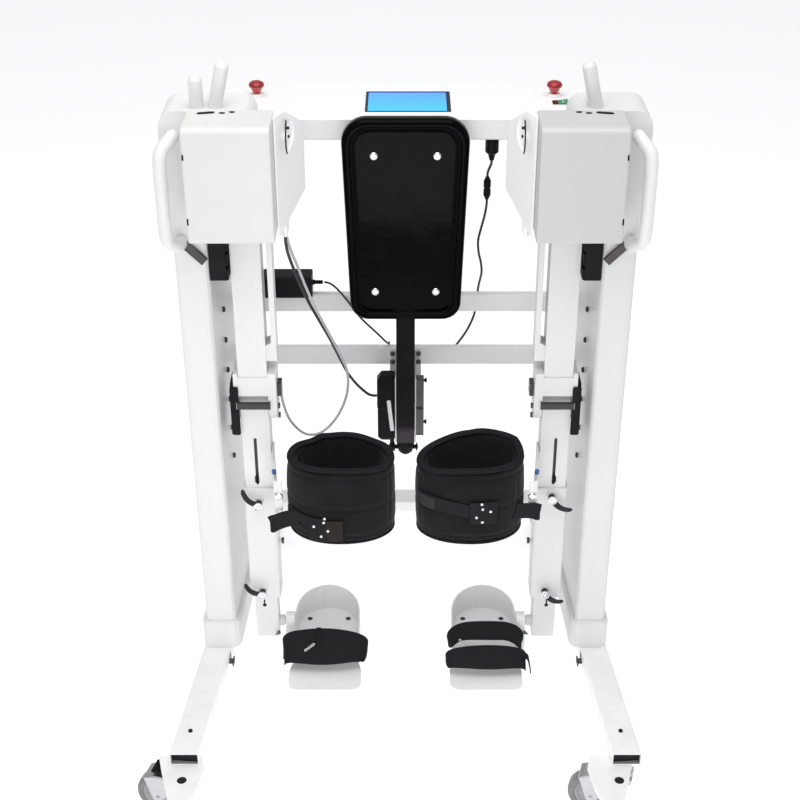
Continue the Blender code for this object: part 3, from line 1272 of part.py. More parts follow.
def main():
    clear_scene()
    rear_crossbar()
    for tag, side in SIDES.items():
        base_leg(tag, side)
        pillar(tag, side)
        hip_housing(tag, side)
        hip_cover(tag, side)
        slider_block(tag, side)
        grab_handle(tag, side)
        leg(tag, side)
        caster(f"front_{tag}", (side * FRONT_PIVOT_X[tag], FRONT_PIVOT_Y), True)
        caster(f"rear_{tag}", (side * rear_pivot_x(), CROSSBAR_Y + TUBE_W / 2), False)
        stop_button(tag, side)
    cross_rail("rail_upper", RAIL_UPPER_Z)
    cross_rail("rail_middle", RAIL_MIDDLE_Z)
    console_beam()
    display()
    rocker_switch()
    lift = pivot("pad_lift", (0, 0, 0))
    back_board(lift)
    pad_post(lift)
    pad_guide()
    actuator()
    power_adapter()
    display_plug()
    inline_connector()
    cords()
    print("model moved by", tuple(round(v, 4) for v in centre_model()))


main()
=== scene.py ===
# %% [markdown]
# # A gait trainer, dressed for its portrait
# A gait trainer is a wheeled frame that holds a person up by the hips and walks their legs with two
# jointed arms. The solids, sizes and joints come from the CAD frame. This lesson adds what the eye
# reads first: paint, rubber, neoprene, webbing, glass and cable.

import math

import bmesh
import bpy
import numpy as np
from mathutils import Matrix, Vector


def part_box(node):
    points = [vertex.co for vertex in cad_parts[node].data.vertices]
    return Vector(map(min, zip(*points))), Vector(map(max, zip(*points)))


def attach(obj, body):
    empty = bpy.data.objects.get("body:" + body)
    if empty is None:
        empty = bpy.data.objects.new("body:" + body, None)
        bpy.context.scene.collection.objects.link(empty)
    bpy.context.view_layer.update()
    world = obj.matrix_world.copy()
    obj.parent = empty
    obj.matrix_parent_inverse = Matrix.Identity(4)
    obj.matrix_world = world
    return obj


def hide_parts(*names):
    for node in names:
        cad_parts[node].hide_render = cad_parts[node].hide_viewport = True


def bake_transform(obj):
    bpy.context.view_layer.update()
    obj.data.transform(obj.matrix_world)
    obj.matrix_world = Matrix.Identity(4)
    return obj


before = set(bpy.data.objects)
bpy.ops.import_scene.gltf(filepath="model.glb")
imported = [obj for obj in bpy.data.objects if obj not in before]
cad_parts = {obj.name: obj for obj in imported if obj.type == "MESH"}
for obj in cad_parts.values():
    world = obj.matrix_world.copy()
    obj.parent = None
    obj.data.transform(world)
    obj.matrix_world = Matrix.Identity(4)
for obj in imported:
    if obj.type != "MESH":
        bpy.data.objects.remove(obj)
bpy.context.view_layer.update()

# %% [markdown]
# The CAD was drawn with Y = 0 on the front face of the pillars and X = 0 in the middle, then moved so
# that its origin is under the middle of its box. Reading that move back from one rail lets this
# lesson use the drawing's own numbers everywhere.

# %% Drawing coordinates
RAIL_Y = 0.290
rail_low, rail_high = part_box("rail_upper")
MOVE = np.array([(rail_low[0] + rail_high[0]) / 2, rail_low[1] - RAIL_Y, 0.0])
SIDES = {"l": -1, "r": 1}


def spot(x, y, z):
    """A point of the drawing as a point of the frame."""
    return np.array([x, y, z], float) + MOVE


print("the drawing lies at", np.round(MOVE, 4))

# %% [markdown]
# Every new surface below is a grid of points worked out with numpy. A grid has rows along one
# parameter and columns along the other, and either way may close on itself, as round a tube.

# %% Grids into meshes
def grid_faces(rows, columns, wrap_rows=False, wrap_columns=False, first=0):
    """Quads between neighbouring grid points: (r, c), (r, c+1), (r+1, c+1), (r+1, c)."""
    r = np.arange(rows if wrap_rows else rows - 1)[:, None]
    c = np.arange(columns if wrap_columns else columns - 1)[None, :]
    r1, c1 = (r + 1) % rows, (c + 1) % columns
    quads = np.stack([r * columns + c, r * columns + c1, r1 * columns + c1, r1 * columns + c], -1)
    return (quads.reshape(-1, 4) + first).tolist()


class Shape:
    """Collects grids and their end caps, then becomes one mesh object."""

    def __init__(self):
        self.points = []
        self.faces = []
        self.count = 0

    def grid(self, places, wrap_rows=False, wrap_columns=False, caps=False):
        """Adds a (rows, columns, 3) array. Caps close the first and last row with one face each."""
        rows, columns = places.shape[:2]
        quads = grid_faces(rows, columns, wrap_rows, wrap_columns, self.count)
        if caps:
            quads.append([self.count + i for i in range(columns)][::-1])
            last = self.count + (rows - 1) * columns
            quads.append([last + i for i in range(columns)])
        self.points.append(places.reshape(-1, 3))
        self.faces += quads
        self.count += rows * columns
        return self

    def piece(self, name, finish, smooth=40):
        """The mesh object, with its normals turned outwards and edges sharper than smooth degrees kept."""
        mesh = bpy.data.meshes.new(name)
        mesh.from_pydata(np.concatenate(self.points), [], self.faces)
        outwards(mesh)
        mesh.polygons.foreach_set("use_smooth", np.ones(len(mesh.polygons), bool))
        if smooth < 180:
            mesh.set_sharp_from_angle(angle=math.radians(smooth))
        mesh.materials.append(finish)
        made = bpy.data.objects.new(name, mesh)
        bpy.context.collection.objects.link(made)
        return made

    def on(self, body, name, finish, smooth=40, instead=None):
        """The piece, riding on a CAD body; instead is the CAD node whose place it takes."""
        made = self.piece(name, finish, smooth)
        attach(made, body)
        if instead:
            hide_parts(instead)
        return made


def outwards(mesh):
    """Turns every face of a closed mesh outwards."""
    work = bmesh.new()
    work.from_mesh(mesh)
    bmesh.ops.recalc_face_normals(work, faces=work.faces)
    work.to_mesh(mesh)
    work.free()


# %% [markdown]
# Three ways of carrying a profile cover nearly every piece: round an axis (a lathe), along a path
# (a sweep), and straight through a thickness (a slab).

# %% Lathe, sweep and slab
def unit(v):
    """The same direction with length one."""
    v = np.asarray(v, float)
    return v / np.linalg.norm(v)


def axes_of(axis):
    """Two directions square to an axis and to each other."""
    axis = unit(axis)
    helper = np.array([0.0, 0, 1]) if abs(axis[2]) < 0.9 else np.array([1.0, 0, 0])
    u = unit(np.cross(helper, axis))
    return u, np.cross(axis, u)


def lathe(shape, profile, centre, axis, sides=32, ring=False):
    """Each profile point (r, h) becomes a circle: centre + axis h + r (u cos a + v sin a).

    The profile of a ring closes on itself; any other gets a cap at each end."""
    profile = np.asarray(profile, float)
    u, v = axes_of(axis)
    angle = np.linspace(0, 2 * np.pi, sides, endpoint=False)
    circle = np.cos(angle)[:, None] * u + np.sin(angle)[:, None] * v
    places = centre + profile[:, 1, None, None] * unit(axis) + profile[:, 0, None, None] * circle[None]
    return shape.grid(places, wrap_rows=ring, wrap_columns=True, caps=not ring)


def frames_along(path, up):
    """Tangent, side and normal at each point of a path; the normal stays as near to up as it can."""
    path = np.asarray(path, float)
    tangent = np.gradient(path, axis=0)
    tangent /= np.linalg.norm(tangent, axis=1, keepdims=True)
    side = np.cross(tangent, np.broadcast_to(np.asarray(up, float), path.shape))
    side /= np.linalg.norm(side, axis=1, keepdims=True)
    return tangent, side, np.cross(side, tangent)


def sweep(shape, path, section, up, scale=None, closed=False):
    """Every section point (a, b) at every path point p: p + side a + normal b."""
    path, section = np.asarray(path, float), np.asarray(section, float)
    _, side, normal = frames_along(path, up)
    size = np.ones(len(path)) if scale is None else np.asarray(scale, float)
    places = path[:, None] + size[:, None, None] * (
        section[None, :, 0, None] * side[:, None] + section[None, :, 1, None] * normal[:, None]
    )
    return shape.grid(places, wrap_rows=closed, wrap_columns=True, caps=not closed)


def rounded_box(width, height, radius, steps=4):
    """Outline of a rounded oblong about the origin, as (a, b)."""
    corners = []
    for sa, sb, start in ((1, 1, 0), (-1, 1, 90), (-1, -1, 180), (1, -1, 270)):
        angle = np.radians(np.linspace(start, start + 90, steps + 1))
        a = sa * (width / 2 - radius) + radius * np.cos(angle)
        b = sb * (height / 2 - radius) + radius * np.sin(angle)
        corners.append(np.stack([a, b], 1))
    return np.concatenate(corners)


def ellipse(width, height, count=24):
    """Points (width / 2 cos a, height / 2 sin a) evenly round the turn."""
    angle = np.linspace(0, 2 * np.pi, count, endpoint=False)
    return np.stack([np.cos(angle) * width / 2, np.sin(angle) * height / 2], 1)


def slab(shape, outline, centre, u, v, depth, edge=0.001, steps=3):
    """An outline (a, b) on the plane centre + u a + v b, as thick as depth along u x v, with a round edge."""
    outline = np.asarray(outline, float)
    u, v = unit(u), unit(v)
    out = np.cross(u, v)
    middle = outline.mean(0)
    reach = np.abs(outline - middle).max()
    angle = np.linspace(0, np.pi / 2, steps + 1)
    levels = [(edge, 0.0)]
    levels += [(edge * (1 - math.sin(t)), edge * (1 - math.cos(t))) for t in angle[1:]]
    levels += [(edge * (1 - math.cos(t)), depth - edge * (1 - math.sin(t))) for t in angle]
    rows = []
    for inset, height in levels:
        flat = middle + (outline - middle) * (1 - inset / reach)
        rows.append(centre + flat[:, :1] * u + flat[:, 1:] * v + height * out)
    return shape.grid(np.array(rows), wrap_columns=True, caps=True)


print("lathe, sweep and slab are ready")

# %% [markdown]
# The photograph looks down at about thirty degrees from a good two and a half metres in front of the
# frame, a little above a tall person's head. A moderate lens from there keeps the two pillars almost
# upright while the base legs splay towards the viewer.

# %% Camera
TILT = 30.5
FOCAL_PX = 2430 * math.tan(math.radians(TILT))
PICTURE = 800
view_camera = bpy.data.cameras.new("portrait")
view_camera.sensor_width = 36
view_camera.lens = FOCAL_PX * 36 / PICTURE
view_camera.shift_x = -5.5 / PICTURE
camera = bpy.data.objects.new("portrait", view_camera)
camera.location = spot(0, -2.473, 2.256)
camera.rotation_euler = (math.radians(90 - TILT), 0, 0)
bpy.context.collection.objects.link(camera)
bpy.context.scene.camera = camera
print("lens", round(view_camera.lens, 2), "mm")

# %% [markdown]
# The picture is high-key: white paint on a white sweep, lit from everywhere. A bright plain world and
# a glowing floor do most of it, and three broad soft lamps give the faces their small differences:
# one overhead, one from the viewer's left, and a low one in front that reaches in to the foot trays.

# %% Light
WORLD_LIGHT = 0.50
FLOOR_GLOW = 0.44
scene = bpy.context.scene
scene.view_settings.view_transform = "Standard"
scene.view_settings.look = "None"
world = bpy.data.worlds.new("studio")
world.use_nodes = True
world.node_tree.nodes["Background"].inputs["Color"].default_value = (0.985, 0.99, 1.0, 1)
world.node_tree.nodes["Background"].inputs["Strength"].default_value = WORLD_LIGHT
scene.world = world


def soft_lamp(name, place, aim, size, watts):
    """A square area lamp at place, turned to look at aim."""
    lamp = bpy.data.lights.new(name, "AREA")
    lamp.shape = "SQUARE"
    lamp.size = size
    lamp.energy = watts
    made = bpy.data.objects.new(name, lamp)
    made.location = place
    made.rotation_euler = (Vector(aim) - Vector(place)).to_track_quat("-Z", "Y").to_euler()
    bpy.context.collection.objects.link(made)
    return made


soft_lamp("overhead", (0.0, -0.6, 3.6), (0.0, 0.1, 0.8), 2.6, 60)
soft_lamp("left_bank", (-2.0, -3.4, 3.0), (0.0, 0.0, 0.8), 1.8, 8)
soft_lamp("low_front", (0.0, -1.9, 0.62), (0.0, 0.15, 0.15), 0.8, 6.5)

# %% [markdown]
# Shader arithmetic reads best as arithmetic. A Wire wraps one socket and turns the signs + - and *
# into Math nodes, so a gloss can be written as 0.48 - worn * 0.16.

# %% Wires
class Wire:
    """A node's output socket that can be used in an expression."""

    def __init__(self, finish, socket):
        self.finish = finish
        self.socket = socket

    def maths(self, operation, *values):
        return self.finish.node("ShaderNodeMath", {"operation": operation}, dict(enumerate(values)))

    def __add__(self, other):
        return self.maths("ADD", self, other)

    def __radd__(self, other):
        return self.maths("ADD", other, self)

    def __sub__(self, other):
        return self.maths("SUBTRACT", self, other)

    def __rsub__(self, other):
        return self.maths("SUBTRACT", other, self)

    def __mul__(self, other):
        return self.maths("MULTIPLY", self, other)

    def __rmul__(self, other):
        return self.maths("MULTIPLY", other, self)

    def between(self, low, high):
        """0 under low, 1 over high, straight between; the other way round where low is the larger."""
        inputs = {"Value": self, "From Min": low, "From Max": high, "To Min": 0.0, "To Max": 1.0}
        return self.finish.node("ShaderNodeMapRange", {"clamp": True}, inputs)

    def maximum(self, other):
        return self.maths("MAXIMUM", self, other)

    def minimum(self, other):
        return self.maths("MINIMUM", self, other)


print("wires can be added, subtracted and multiplied")

# %% [markdown]
# A Finish is one material being built round Blender's Principled shader. Its node() adds any node from
# its settings and its inputs, and the other methods are the few patterns that the finishes below
# share: the shading point, noise, cells, a blend of two colours and a relief.

# %% Finishes
class Finish:
    """A material whose Principled shader is fed step by step."""

    def __init__(self, name, colour, roughness, metallic=0.0, **constants):
        self.material = bpy.data.materials.new(name)
        self.material.use_nodes = True
        self.tree = self.material.node_tree
        self.shader = self.tree.nodes["Principled BSDF"]
        self.set("Base Color", (*colour, 1.0))
        self.set("Roughness", roughness)
        self.set("Metallic", metallic)
        for socket, value in constants.items():
            self.set(socket.replace("_", " "), value)
        self.material.diffuse_color = (*colour, 1.0)

    def feed(self, socket, value):
        """Links a wire to a socket, or sets the socket's own value."""
        if isinstance(value, Wire):
            self.tree.links.new(value.socket, socket)
        else:
            socket.default_value = value

    def set(self, socket, value):
        """Feeds one socket of the Principled shader."""
        self.feed(self.shader.inputs[socket], value)
        return self

    def node(self, kind, settings=None, inputs=None, out=0):
        """Adds a node with its settings and its inputs, and gives back one output as a wire."""
        made = self.tree.nodes.new(kind)
        for key, value in (settings or {}).items():
            setattr(made, key, value)
        for key, value in (inputs or {}).items():
            self.feed(made.inputs[key], value)
        return Wire(self, made.outputs[out])

    def place(self):
        """The point being shaded, in metres of the frame."""
        return self.node("ShaderNodeTexCoord", out=3)

    def parts(self, vector):
        """The three numbers of a vector, as three wires."""
        split = self.tree.nodes.new("ShaderNodeSeparateXYZ")
        self.feed(split.inputs[0], vector)
        return [Wire(self, split.outputs[i]) for i in range(3)]

    def noise(self, scale, detail=2.0, rough=0.5, where=None):
        """Smooth random values round 0.5 with blotches 1 / scale across."""
        inputs = {"Vector": where or self.place(), "Scale": scale, "Detail": detail, "Roughness": rough}
        return self.node("ShaderNodeTexNoise", None, inputs)

    def cells(self, scale):
        """Distance to the nearest of scattered points, about scale of them to the metre."""
        return self.node("ShaderNodeTexVoronoi", None, {"Vector": self.place(), "Scale": scale})

    def stretch(self, factors):
        """The shading point with each of its numbers multiplied, to draw a pattern out along one way."""
        return self.node("ShaderNodeMapping", None, {"Vector": self.place(), "Scale": factors})

    def blend(self, share, first, second):
        """One colour at share 0, the other at share 1."""
        mixer = self.tree.nodes.new("ShaderNodeMix")
        mixer.data_type = "RGBA"
        self.feed(mixer.inputs[0], share)
        self.feed(mixer.inputs[6], first if isinstance(first, Wire) else (*first[:3], 1.0))
        self.feed(mixer.inputs[7], second if isinstance(second, Wire) else (*second[:3], 1.0))
        return Wire(self, mixer.outputs[2])

    def bump(self, height, distance, strength=1.0):
        """Relief: distance is the height in metres of a step from 0 to 1."""
        inputs = {"Height": height, "Distance": distance, "Strength": strength}
        return self.set("Normal", self.node("ShaderNodeBump", None, inputs))


print("finishes can be built")

# %% [markdown]
# Powder coat is sprayed on as a dry powder and baked, and it levels into a satin skin with a fine
# orange peel. Up close there are ripples a millimetre or two across, a faint mottling of the gloss,
# and round the feet of the frame a trace of scuffs and grey dust.

# %% White powder coat
def powder_coat(name, colour, dust=0.10, unfinished=False):
    """The coat's material, or with unfinished the Finish and its colour wire, for more to be laid over."""
    coat = Finish(name, colour, 0.42, Coat_Weight=0.12, Coat_Roughness=0.25)
    peel = coat.noise(620, 2.0, 0.55)
    grain = coat.noise(2600, 1.0, 0.5)
    mottle = coat.noise(14, 3.0, 0.6)
    height = coat.parts(coat.place())[2]
    low_down = height.between(0.34, 0.06) * mottle.between(0.42, 0.68)
    scuffs = coat.noise(90, 4.0, 0.7, coat.stretch((1.0, 1.0, 0.25))).between(0.62, 0.74)
    dirt = (low_down * dust + scuffs * 0.035).minimum(1.0)
    shade = coat.blend(mottle.between(0.35, 0.7) * 0.35, colour, tuple(c * 0.965 for c in colour))
    shade = coat.blend(dirt, shade, (0.42, 0.41, 0.39))
    coat.set("Base Color", shade)
    coat.set("Roughness", 0.36 + mottle * 0.10 + scuffs * 0.06)
    coat.bump(peel * 0.8 + grain * 0.2, 0.00011, 0.55)
    if unfinished:
        return coat, shade
    return coat.material


WHITE = (0.80, 0.80, 0.796)
white_coat = powder_coat("white_powder_coat", WHITE)
# Painted shade: the hip housings are coloured darker than the white coat, the viewer's right one darker
# again.
HIP_SHADE = {"l": (0.715, 0.710, 0.700), "r": (0.560, 0.555, 0.550)}
# Painted shade: the factor that darkens the colour of pieces on the viewer's right.
SIDE_SHADE_FACTOR = {"l": 1.0, "r": 0.92}
LEG_WHITE = (0.82, 0.82, 0.816)
# Painted light: a brighter white than the coat for the base legs, foot trays, rails and rear crossbar,
# lifting the shade that falls on them low and deep in the frame.
LIT_WHITE = (0.955, 0.957, 0.958)
white_leg = powder_coat("white_leg_coat", LEG_WHITE, 0.05)

# %% [markdown]
# The covers and the console are moulded or vacuum-formed: the same white, but with a finer grain and
# a slightly warmer, softer shine than the coated steel.

# %% White mouldings
def moulded_white(name, colour):
    """White plastic skin: a fine cell grain and slow clouds in its tone and gloss."""
    shell = Finish(name, colour, 0.46, Specular_IOR_Level=0.45)
    grain = shell.cells(1500)
    cloud = shell.noise(9, 3.0, 0.6)
    shade = tuple(c * 0.97 for c in colour)
    shell.set("Base Color", shell.blend(cloud.between(0.38, 0.68) * 0.4, colour, shade))
    shell.set("Roughness", 0.42 + cloud * 0.10)
    shell.bump(grain, 0.00006, 0.5)
    return shell.material


white_cover = moulded_white("white_cover_moulding", (0.955, 0.955, 0.955))
console_white = moulded_white("console_moulding", (0.88, 0.88, 0.878))

# %% [markdown]
# Black parts are not one black. Glass-filled nylon is grey-black with a fine sparkle, the rubber is
# flatter with dust in it, the back board is a glossy lacquer with a slight ripple, and the cable
# jackets have a soft extruded sheen.

# %% Blacks
def nylon_black(name, colour=(0.006, 0.006, 0.007), roughness=0.46):
    """Glass-filled nylon: a grainy satin black with paler clouds."""
    plastic = Finish(name, colour, roughness, Specular_IOR_Level=0.11)
    grain = plastic.noise(1400, 2.0, 0.6)
    cloud = plastic.noise(40, 3.0, 0.6)
    pale = tuple(c * 1.9 + 0.002 for c in colour)
    plastic.set("Base Color", plastic.blend(cloud.between(0.45, 0.75) * 0.5, colour, pale))
    plastic.set("Roughness", roughness - 0.06 + cloud * 0.14)
    plastic.bump(grain, 0.00008, 0.6)
    return plastic.material


def lacquer_black():
    """Deep glossy black with a slow ripple, a little haze and a few specks."""
    lacquer = Finish("lacquer_black", (0.0012, 0.0012, 0.0016), 0.10, Specular_IOR_Level=0.04)
    ripple = lacquer.noise(55, 2.0, 0.5)
    specks = lacquer.cells(420).between(0.10, 0.04)
    haze = lacquer.noise(22, 4.0, 0.65).between(0.48, 0.80)
    lacquer.set("Base Color", lacquer.blend(haze * 0.35, (0.0014, 0.0014, 0.0018), (0.005, 0.005, 0.006)))
    lacquer.set("Roughness", 0.08 + haze * 0.22 + specks * 0.15)
    lacquer.bump(ripple, 0.00035, 0.25)
    return lacquer.material


def rubber_black():
    """Flat black whose high spots hold grey dust."""
    colour = (0.012, 0.012, 0.013)
    rubber = Finish("rubber_black", colour, 0.62, Specular_IOR_Level=0.2)
    dust = rubber.noise(120, 4.0, 0.7).between(0.5, 0.85)
    rubber.set("Base Color", rubber.blend(dust * 0.30, colour, (0.075, 0.074, 0.070)))
    rubber.set("Roughness", 0.55 + dust * 0.25)
    rubber.bump(rubber.noise(900, 2.0, 0.6), 0.00010, 0.6)
    return rubber.material


black_nylon = nylon_black("nylon_black")
black_block = nylon_black("block_black", (0.007, 0.007, 0.008), 0.40)
board_lacquer = lacquer_black()
black_rubber = rubber_black()

# %% [markdown]
# Small metal parts show turning marks and a trace of handling: plated screws are bright with soft
# smears, blackened bolts keep a dark oxide with lighter worn crowns.

# %% Metals
def plated(name, colour, roughness):
    """Bright plating with soft smears from handling."""
    metal = Finish(name, colour, roughness, 1.0)
    smear = metal.noise(160, 3.0, 0.65)
    metal.set("Roughness", roughness - 0.04 + smear * 0.16)
    dull = tuple(c * 0.72 for c in colour)
    metal.set("Base Color", metal.blend(smear.between(0.4, 0.7) * 0.4, colour, dull))
    metal.bump(metal.noise(2200, 1.0, 0.5), 0.00002, 0.5)
    return metal.material


def blackened():
    """Oxide-black steel, paler where it is worn."""
    metal = Finish("blackened_steel", (0.030, 0.030, 0.032), 0.42, 0.85)
    worn = metal.noise(380, 3.0, 0.7).between(0.55, 0.78)
    metal.set("Base Color", metal.blend(worn * 0.45, (0.028, 0.028, 0.030), (0.16, 0.16, 0.16)))
    metal.set("Roughness", 0.48 - worn * 0.16)
    metal.bump(metal.noise(1800, 2.0, 0.5), 0.00004, 0.5)
    return metal.material


chrome = plated("chrome_plate", (0.78, 0.78, 0.79), 0.12)
zinc = plated("zinc_plate", (0.55, 0.56, 0.57), 0.30)
black_steel = blackened()

# %% [markdown]
# The emergency stops are glossy red mouldings, the rocker is a lit green one, and the casters have
# grey plastic wheels with a slightly darker tread.

# %% Coloured plastics
def glossy_plastic(name, colour, dark, roughness=0.28):
    """Moulded plastic with clouds between its colour and a darker one."""
    plastic = Finish(name, colour, roughness, Coat_Weight=0.3, Coat_Roughness=0.12)
    cloud = plastic.noise(70, 3.0, 0.6)
    plastic.set("Base Color", plastic.blend(cloud.between(0.4, 0.75) * 0.6, colour, dark))
    plastic.set("Roughness", roughness - 0.05 + cloud * 0.12)
    plastic.bump(plastic.noise(900, 1.0, 0.5), 0.00004, 0.4)
    return plastic.material


STOP_WAIST = 1.3265


def stop_plastic():
    """Deep red crown; below it the waist is brighter and speckled with pale grains."""
    plastic = Finish("stop_red", (0.40, 0.012, 0.016), 0.30, Coat_Weight=0.25, Coat_Roughness=0.15)
    _, _, z = plastic.parts(plastic.place())
    crown = z.between(STOP_WAIST - 0.0012, STOP_WAIST + 0.0012)
    cloud = plastic.noise(90, 3.0, 0.6)
    red = plastic.blend(cloud.between(0.4, 0.75), (0.36, 0.008, 0.012), (0.20, 0.004, 0.007))
    grains = plastic.cells(650).between(0.30, 0.12)
    waist = plastic.blend(grains * 0.8, (0.52, 0.030, 0.034), (0.80, 0.52, 0.50))
    plastic.set("Base Color", plastic.blend(crown, waist, red))
    plastic.set("Roughness", 0.26 + cloud * 0.14)
    plastic.bump(plastic.noise(900, 1.0, 0.5), 0.00004, 0.4)
    return plastic.material


def rocker_plastic():
    """Green see-through rocker: its outer third is black, and a mint stroke marks the switched side."""
    low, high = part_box("rocker_switch")
    wide = high[0] - low[0]

    def across(share):
        return low[0] + share * wide

    plastic = Finish("rocker_green", (0.010, 0.20, 0.085), 0.25, Coat_Weight=0.4, Coat_Roughness=0.10)
    x, y, _ = plastic.parts(plastic.place())
    cloud = plastic.noise(70, 3.0, 0.6)
    green = plastic.blend(cloud.between(0.4, 0.75), (0.012, 0.26, 0.110), (0.005, 0.14, 0.060))
    black = x.between(across(0.34), across(0.30))
    stroke = x.between(across(0.60), across(0.62)) * x.between(across(0.70), across(0.68))
    stroke = stroke * y.between(low[1] + 0.005, low[1] + 0.006) * y.between(high[1] - 0.005, high[1] - 0.006)
    colour = plastic.blend(black, green, (0.008, 0.008, 0.009))
    plastic.set("Base Color", plastic.blend(stroke, colour, (0.42, 0.80, 0.62)))
    plastic.set("Roughness", 0.20 + cloud * 0.12)
    plastic.bump(plastic.noise(900, 1.0, 0.5), 0.00004, 0.4)
    return plastic.material


stop_red = stop_plastic()
rocker_green = rocker_plastic()
wheel_grey = glossy_plastic("wheel_grey", (0.34, 0.345, 0.35), (0.22, 0.225, 0.23), 0.42)
tyre_grey = glossy_plastic("tyre_grey", (0.200, 0.200, 0.205), (0.130, 0.130, 0.134), 0.60)
wedge_teal = glossy_plastic("wedge_teal", (0.012, 0.080, 0.100), (0.008, 0.050, 0.062), 0.35)
adapter_black = nylon_black("adapter_black", (0.006, 0.006, 0.007), 0.36)

charcoal = nylon_black("charcoal_lever", (0.026, 0.026, 0.029), 0.42)
# Painted shadow: the grey of the band that stands for the shadow under each hip box.
box_shadow_grey = nylon_black("box_shadow_grey", (0.085, 0.080, 0.082), 0.45)
peg_blue = glossy_plastic("peg_blue", (0.03, 0.12, 0.42), (0.02, 0.07, 0.28))

# %% [markdown]
# A CAD node keeps its mesh and takes a new finish: its material slot is simply refilled. Most nodes
# come in pairs, one for each side.

# %% Finishes onto the frame
def paint(finish, *names):
    """Puts a finish into every material slot of the named CAD nodes."""
    for name in names:
        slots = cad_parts[name].data.materials
        for i in range(len(slots)):
            slots[i] = finish


def both(stem):
    """The names of the left and the right node."""
    return f"{stem}_l", f"{stem}_r"


print("finishes can go onto", len(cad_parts), "nodes")

# %% [markdown]
# Small dark details of a white node, such as bolt heads and the painted shade on the walls of slots, are
# picked out
# by where they lie: a mask is 1 inside a box of the drawing and 0 outside, and several masks may be joined.

# %% Dark details of a white node
SHARP = 0.0003
DARK = (0.020, 0.020, 0.021)


def box_mask(finish, low, high):
    """1 inside the box from low to high (drawing metres), with None for an open side."""
    mask = None
    for wire, move, a, b in zip(finish.parts(finish.place()), MOVE, low, high):
        for limit, way in ((a, 1), (b, -1)):
            if limit is None:
                continue
            edge = limit + move
            part = wire.between(edge - SHARP * way, edge + SHARP * way)
            mask = part if mask is None else mask * part
    return mask


def dark_box(side, x, y, z):
    """Two corners of a box from its ranges, where X counts outwards from the middle plane."""
    near, far = x if side > 0 else (-x[1], -x[0])
    return (near, y[0], z[0]), (far, y[1], z[1])


def marked(finish_name, colour, dust, boxes, tone=DARK):
    """Powder coat whose boxes are coloured dark: blackened or grey steel for bolts and knobs, painted shade
    for gaps and openings.
    """
    coat, shade = powder_coat(finish_name, colour, dust, True)
    mask = None
    for low, high in boxes:
        part = box_mask(coat, low, high)
        mask = part if mask is None else mask.maximum(part)
    coat.set("Base Color", coat.blend(mask, shade, tone))
    return coat.material


def shaded(colour, tag):
    """Painted shade: the viewer's right side of the machine is coloured darker than the left, as the light
    falls from the left.
    """
    return tuple(c * SIDE_SHADE_FACTOR[tag] for c in colour)


print("boxes can be darkened, with edges", 2 * SHARP, "m wide")

# %% [markdown]
# Each white piece is listed with its dark places: the bolts on a pillar's inner side, painted shade in the
# vents of a hip box, in the gap of a knee and in the slot and keyhole of a shank, the knee's bolts, a
# sleeve's knob, painted shade in the openings of a base leg, and the bolt heads in a foot tray.

# %% White pieces with dark details
TOE_IN = math.tan(math.radians(3))
PILLAR_WALL_X = 0.374 - TOE_IN * 0.1065 - 0.0006
PLATE_HOLE_X = {"l": 0.450, "r": 0.430}
PLATE_HOLE_R = 0.0104
TRAY_BOLTS_X = (0.132, 0.220)
TRAY_BOLT_R = 0.0075
GUIDE_GREY = (0.075, 0.075, 0.078)

